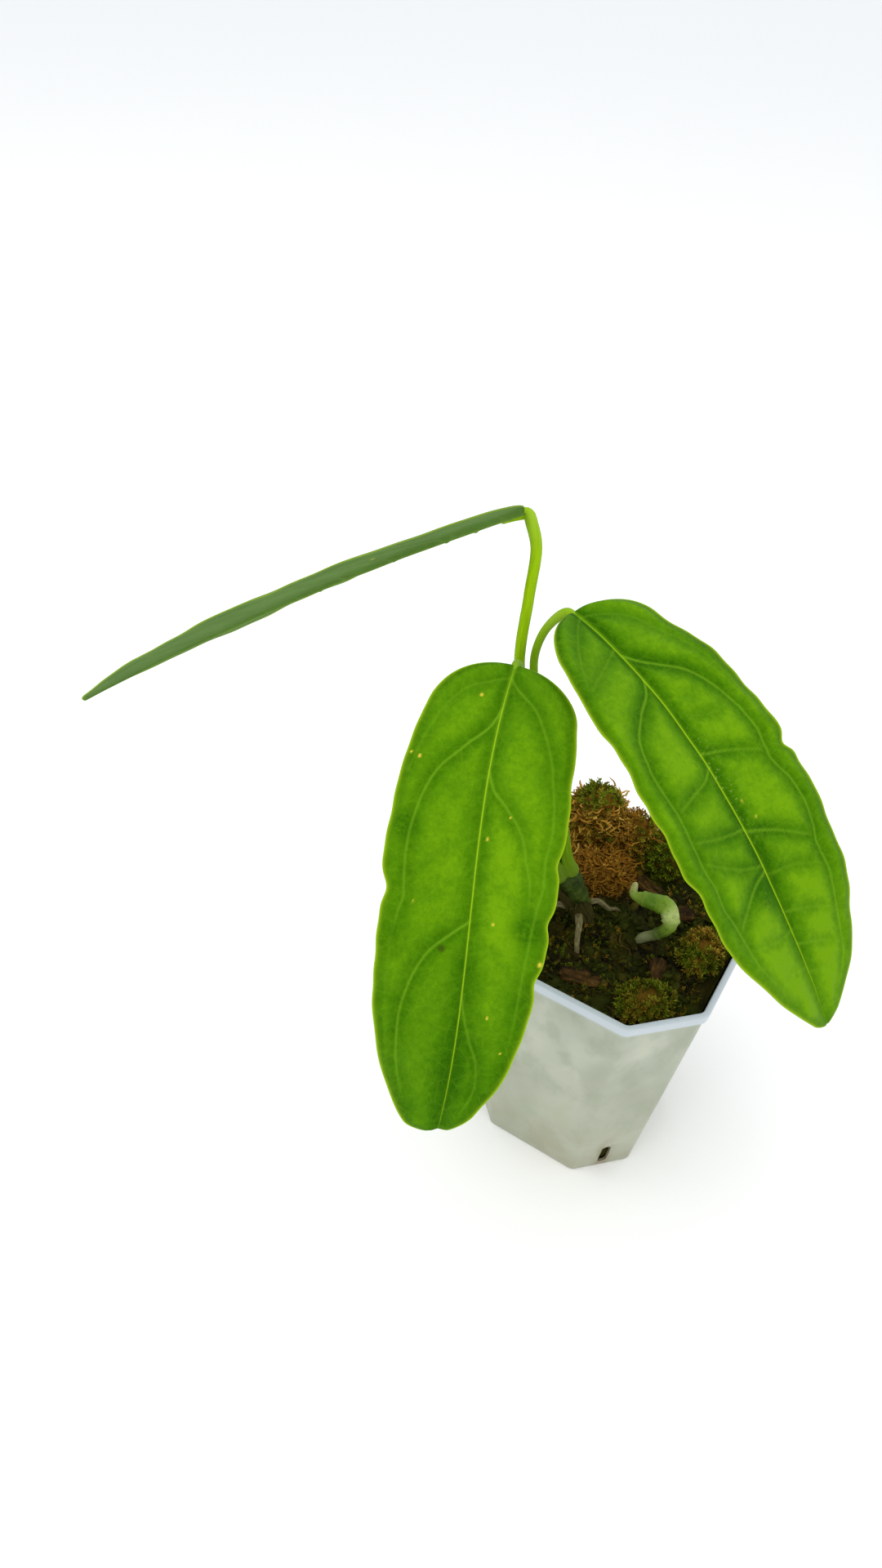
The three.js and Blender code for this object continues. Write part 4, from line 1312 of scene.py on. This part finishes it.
def bladeMarks(leaf, share, side, flat):
    # Round spots, a scuffed stretch beside the midrib, and broad places painted lighter or darker as
    # painted light and shade.
    marks = {}
    for mark, key in (("speck", "specks"), ("hole", "holes"), ("patch", "patches")):
        marks[mark] = np.zeros_like(share)
        for t, s, radius in leaf[key]:
            middle = (s * halfWidth(leaf, np.array(t), np.array(s)), lengthAt(leaf, t))
            away = np.hypot(flat[..., 0] - middle[0], flat[..., 1] - middle[1])
            marks[mark] = marks[mark] + np.exp(-(away / radius) ** 4)
    marks["scuff"] = leaf["scuffed"] * np.exp(-((share - 0.48) / 0.13) ** 2
                                              - ((flat[..., 0] + 1.2) / 3.2) ** 2)
    # Painted light and shade: broad places on the blade made lighter or darker where light and shade fall.
    marks["cast"] = sum((amount * np.exp(-((share - t) / run) ** 2 - ((side - s) / spread) ** 2)
                         for t, s, run, spread, amount in leaf["paintedLightShade"]), np.zeros_like(share))
    return marks


def bladeLift(leaf, share, side, flat, pillow):
    # How far the blade rises from its midrib: the fold, the margin's two ripples, the flick beside each
    # nick, the pillows between the veins, a slow swell and a slightly turned-down margin.
    lengthwise = np.sin(share * np.pi)
    ripple = leaf["wave"] * side ** 2 * np.sin(share * leaf["waves"] * 2 * np.pi + side)
    finer = np.sin(share * leaf["waves"] * 5.3 * np.pi + 2 * side)
    ripple = ripple + 0.3 * leaf["wave"] * side ** 4 * finer
    lift = np.abs(flat[..., 0]) * math.sin(math.radians(leaf["fold"])) + ripple * lengthwise
    for sign, at, depth, width in leaf["nicks"]:
        flick = np.abs(side) ** 3 * np.exp(-((share - at) / width / 1.6) ** 2)
        lift = lift + 0.45 * depth * (side * sign > 0) * flick
    lift = lift + leaf["quilt"] * pillow + 0.3 * leaf["wave"] * swell(flat + 40, 8)
    return lift - 0.15 * ease(np.abs(side), 0.86, 1.0) * lengthwise


def bladeShape(leaf):
    # A blade as two skins that meet at the margin. A point lies out from the midrib by its side's half
    # width, lifted off it as bladeLift says; veins are sunk in the upper skin and stand out as ribs below.
    rows, cols = blade["rows"], blade["cols"]
    u = (np.arange(rows) + 0.35) / (rows - 0.3)
    share = (0.7 * u + 0.3 * (1 - np.cos(np.pi * u)) / 2)[:, None] + np.zeros((1, cols))
    side = np.linspace(-1, 1, cols)[None] + np.zeros((rows, 1))
    midrib, tangent = midribCourse(leaf, share)
    across = side * halfWidth(leaf, share, side)
    flat = np.stack([across, lengthAt(leaf, share), 0 * across], -1)
    fromMid, towardsBase = np.abs(across), 1 - share

    veinLine, hollow = bladeVeins(leaf, share, flat[..., :2])
    midLine = np.exp(-(fromMid / (0.26 + 0.4 * towardsBase ** 2)) ** 2)
    hollow = np.maximum(hollow, np.exp(-(fromMid / (2.6 + 1.4 * share)) ** 2))
    toMargin = (1 - np.abs(side)) * np.abs(across / np.where(side == 0, 1, side))
    pillow = (1 - hollow) * ease(toMargin, 0.2, 3.5)

    sideways = unit(np.cross(tangent, (0, 0, 1)))
    roll, fold = math.radians(leaf["roll"]), math.radians(leaf["fold"])
    sideways = sideways * math.cos(roll) + np.cross(tangent, sideways) * math.sin(roll)
    normal = np.cross(sideways, tangent)
    lift = bladeLift(leaf, share, side, flat, pillow)
    skew = across * leaf["tipSkew"] * share ** 8
    skew = skew - leaf["tipNotch"] * np.exp(-(across / 1.3) ** 2) * share ** 40
    surface = (midrib + sideways * (across * math.cos(fold))[..., None] + tangent * skew[..., None]
               + normal * lift[..., None])
    facing = unit(np.cross(np.gradient(surface, axis=1), np.gradient(surface, axis=0)))
    facing = facing * np.sign(np.sum(facing * normal, -1, keepdims=True))
    thick = blade["edge"] + (blade["thickness"] - blade["edge"]) * ease(toMargin, 0, 2.2)
    above = thick / 2 - 0.35 * midLine * (1 - midLine * 0.6) - 0.05 * veinLine
    rib = (0.35 + 1.1 * towardsBase ** 1.2) * np.exp(-(fromMid / (0.55 + 0.9 * towardsBase)) ** 2)
    below = thick / 2 + rib + 0.3 * veinLine
    top = surface + facing * above[..., None]
    bottom = surface - facing * below[..., None]

    # The margin field: a yellow-green rim light painted along the margin, fading inwards over the given
    # widths.
    left, right = leaf["margin"]
    fields = {"vein": veinLine, "midrib": midLine, "pillow": pillow, "share": share,
              "margin": np.exp(-toMargin / np.where(side > 0, right, left)),
              **bladeMarks(leaf, share, side, flat)}
    fields = {name: np.concatenate([v, v[:, ::-1]], 1) for name, v in fields.items()}
    fields["under"] = np.concatenate([0 * share, 0 * share + 1], 1)
    fields["flat"] = np.concatenate([flat * mm, flat[:, ::-1] * mm + [0.07, 0, 0.02]], 1)
    return skin(np.concatenate([top, bottom[:, ::-1]], 1) * mm, **fields)


def leafFinish(leaf):
    # Upper side: fresh green, painted lighter on the pillows and darker in the hollows as painted light and
    # shade, with pale veins, a faint net of small veins, a yellow-green band painted along the margin as
    # rim light, and broad places painted lighter or darker as light and shade. Under side: dull grey-green
    # with raised veins.
    f = Finish("leafGreen" + leaf["name"],
               {"Specular IOR Level": leaf["gleam"], "Specular Tint": shade(120, 180, 40)})
    flat = f.field("flat", 1)
    vein, midrib, pillow, margin, under, share = (
        f.field(name) for name in ("vein", "midrib", "pillow", "margin", "under", "share"))
    broad = f.noise(flat, 0.017, 3, 0.5)
    mottle = f.noise(flat, 0.0026, 3, 0.6)
    grain = f.noise(flat, 0.0005, 2, 0.6)
    net = f.edges(f.stretched(flat, (1.0, 0.8, 1)), 0.0034, 0.07)
    fineNet = f.edges(flat, 0.0011, 0.12)
    paintedPillowLight = leaf["paintedPillowLight"]
    fine = f.noise(flat, 0.0011, 4, 0.7)
    # Painted light and shade: the pillows are painted paler as their glow, the hollows darker, and the
    # broad painted light and shade is added on.
    tone = pillow * paintedPillowLight + broad * 0.5 + mottle * 0.42 + fine * 0.42 + grain * 0.12 + f.field("cast")
    tone = tone + share * (1 - share) * 0.3 + (leaf["tone"] - 0.48 - 0.6 * (paintedPillowLight - 0.46))
    scratches = f.noise(f.stretched(flat, (1, 1.6, 1)), 0.0011, 4, 0.8).step(0.56, 0.66)
    top = f.layered(
        f.ramp(tone, (0.12, 44, 92, 2), (0.36, 66, 116, 4), (0.6, 86, 136, 8), (0.85, 112, 160, 12)),
        (net * 0.1 + fineNet * 0.05, (120, 172, 28)),
        (f.field("patch") * fine.step(0.3, 0.62) * 0.8, (36, 88, 4)),
        (vein * 0.6, (128, 178, 34)),
        (midrib * (0.55 - share * 0.3), (126, 178, 26)),
        (f.field("scuff") * scratches * 0.5, (168, 200, 90)))
    # The underside's pillows are painted a little paler too, as painted light.
    low = f.layered(
        f.ramp(broad * 0.6 + mottle * 0.3 + pillow * 0.12, (0.3, 80, 112, 46), (0.55, 93, 128, 57),
               (0.8, 110, 146, 68)),
        (vein * 0.45 + fineNet * 0.08 + net * 0.1, (124, 156, 78)),
        (midrib * 0.7, (134, 168, 60)))
    colour = f.layered(
        f.blend(under, top, low),
        # a yellow-green band painted along the margin as rim light
        (margin * 0.92, (172, 208, 34)),
        (f.field("speck") * 0.95, (232, 206, 70)),
        (f.field("hole") * 0.85, (60, 70, 14)))
    gloss = 0.42 + under * 0.24 + grain * 0.12 + mottle * 0.06
    height = grain * 0.35 + fineNet * 0.12 + net * 0.3 - vein * 0.25
    f.dress(colour, gloss, height, 0.00016)
    return f.lightThrough(0.14, (130, 190, 8))


def stalkShape(leaf):
    # A leaf stalk: a limb with a channel along its inner side, clasping wings at its foot, and a
    # wrinkled knee just before the blade, under which it runs on as the midrib's rib.
    heading = unit(stemTop - stemFoot)
    outwards = levelWay(leaf["turn"])
    outwards = unit(outwards - heading * (outwards @ heading)) * stem["stalkRing"]
    base = stemTop + outwards - heading * 1.5
    start, along = (v[0] for v in midribCourse(leaf, np.zeros(1)))
    inside = midribCourse(leaf, np.array([0.05]))[0][0]
    under = unit(along * along[2] - [0, 0, 1])
    points = [base, base + heading * 5.5] + [stemTop + p for p in leaf["stalk"]]
    back, below = leaf["kneeReach"]
    points += [start - along * back + under * below, start + along * 1.5 + under * 1.3,
               inside + under * 1.5]
    course, run, share = limbCourse(points, 210)
    radii = throughStations(list(zip((0, 0.5, 1), leaf["stalkRadius"])), share)
    knee = 1 - 11 / run[-1]
    radii = radii * (1 + 0.1 * np.exp(-((share - knee) / 0.035) ** 2)
                     - 0.45 * ease(share, 1 - 6 / run[-1], 1))
    radii = radii * (1 + 0.55 * np.exp(-(run / 7) ** 2))
    radii = radii * (1 + 0.018 * np.sin(run * 6) * np.exp(-((share - knee) / 0.03) ** 2))
    sides = 44
    along, side, over = carriedFrames(course)
    inward = -unit(outwards)
    turn = roundTurn(sides)[None]
    face = np.arctan2(over @ inward, side @ inward)[:, None]
    off = np.abs((turn - face + np.pi) % (2 * np.pi) - np.pi)
    channel = 0.26 * np.exp(-(off / 0.42) ** 2) * (1 - 0.6 * ease(share, 0.25, 0.7))[:, None]
    wings = 0.3 * np.exp(-((off - 0.95) / 0.3) ** 2) * np.exp(-(run / 16) ** 2)[:, None]
    section = 1 - channel * ease(share, 0.0, 0.04)[:, None] + wings
    kneeMask = np.exp(-((share - knee) / 0.04) ** 2)[:, None]
    return limbSkin(course, radii, sides, 1.3, (0.025, 1.6, 1, 6), (1, 1, 0.4), section,
                    knee=kneeMask, foot=np.exp(-(run / 9) ** 2)[:, None])


def stalkFinish(leaf):
    # Smooth green stalk with fine lengthwise streaks and pale flecks, paler at its knee, and darker at its
    # foot with painted shade where it meets the stem.
    f = Finish("stalkGreen" + leaf["name"],
               {"Specular IOR Level": 0.2, "Specular Tint": shade(150, 200, 60)})
    flat, share, knee, foot = f.field("flat", 1), f.field("share"), f.field("knee"), f.field("foot")
    streaks = f.noise(f.stretched(flat, (1, 0.07, 1)), 0.0006, 3, 0.6)
    flecks = f.noise(flat, 0.0011, 3, 0.7)
    tint = leaf["stalkTint"]
    dark, bright = ([a + (b - a) * tint for a, b in zip(*ends)]
                    for ends in (((86, 128, 34), (108, 150, 4)), ((114, 152, 50), (146, 184, 14))))
    colour = f.layered(
        f.ramp(streaks * 0.7 + share * 0.3, (0.3, *dark), (0.62, *bright)),
        (flecks.step(0.62, 0.72) * 0.3, (186, 208, 120)),
        (knee * 0.3, (164, 200, 70)),
        # painted shade: the foot, where the stalks meet the stem, darkened
        (foot * 0.6, (104, 120, 40)))
    gloss = 0.38 + streaks * 0.18
    f.dress(colour, gloss, streaks * 0.7 + flecks * 0.3, 0.00018)
    return f.lightThrough(0.1, (170, 215, 50))


for leaf in leaves:
    key = leaf["name"].lower()
    makePiece("leaf" + leaf["name"], bladeShape(leaf), leafFinish(leaf), ["leaf_" + key])
    makePiece("stalk" + leaf["name"], stalkShape(leaf), stalkFinish(leaf), ["petiole_" + key])
    print("leaf made:", key)
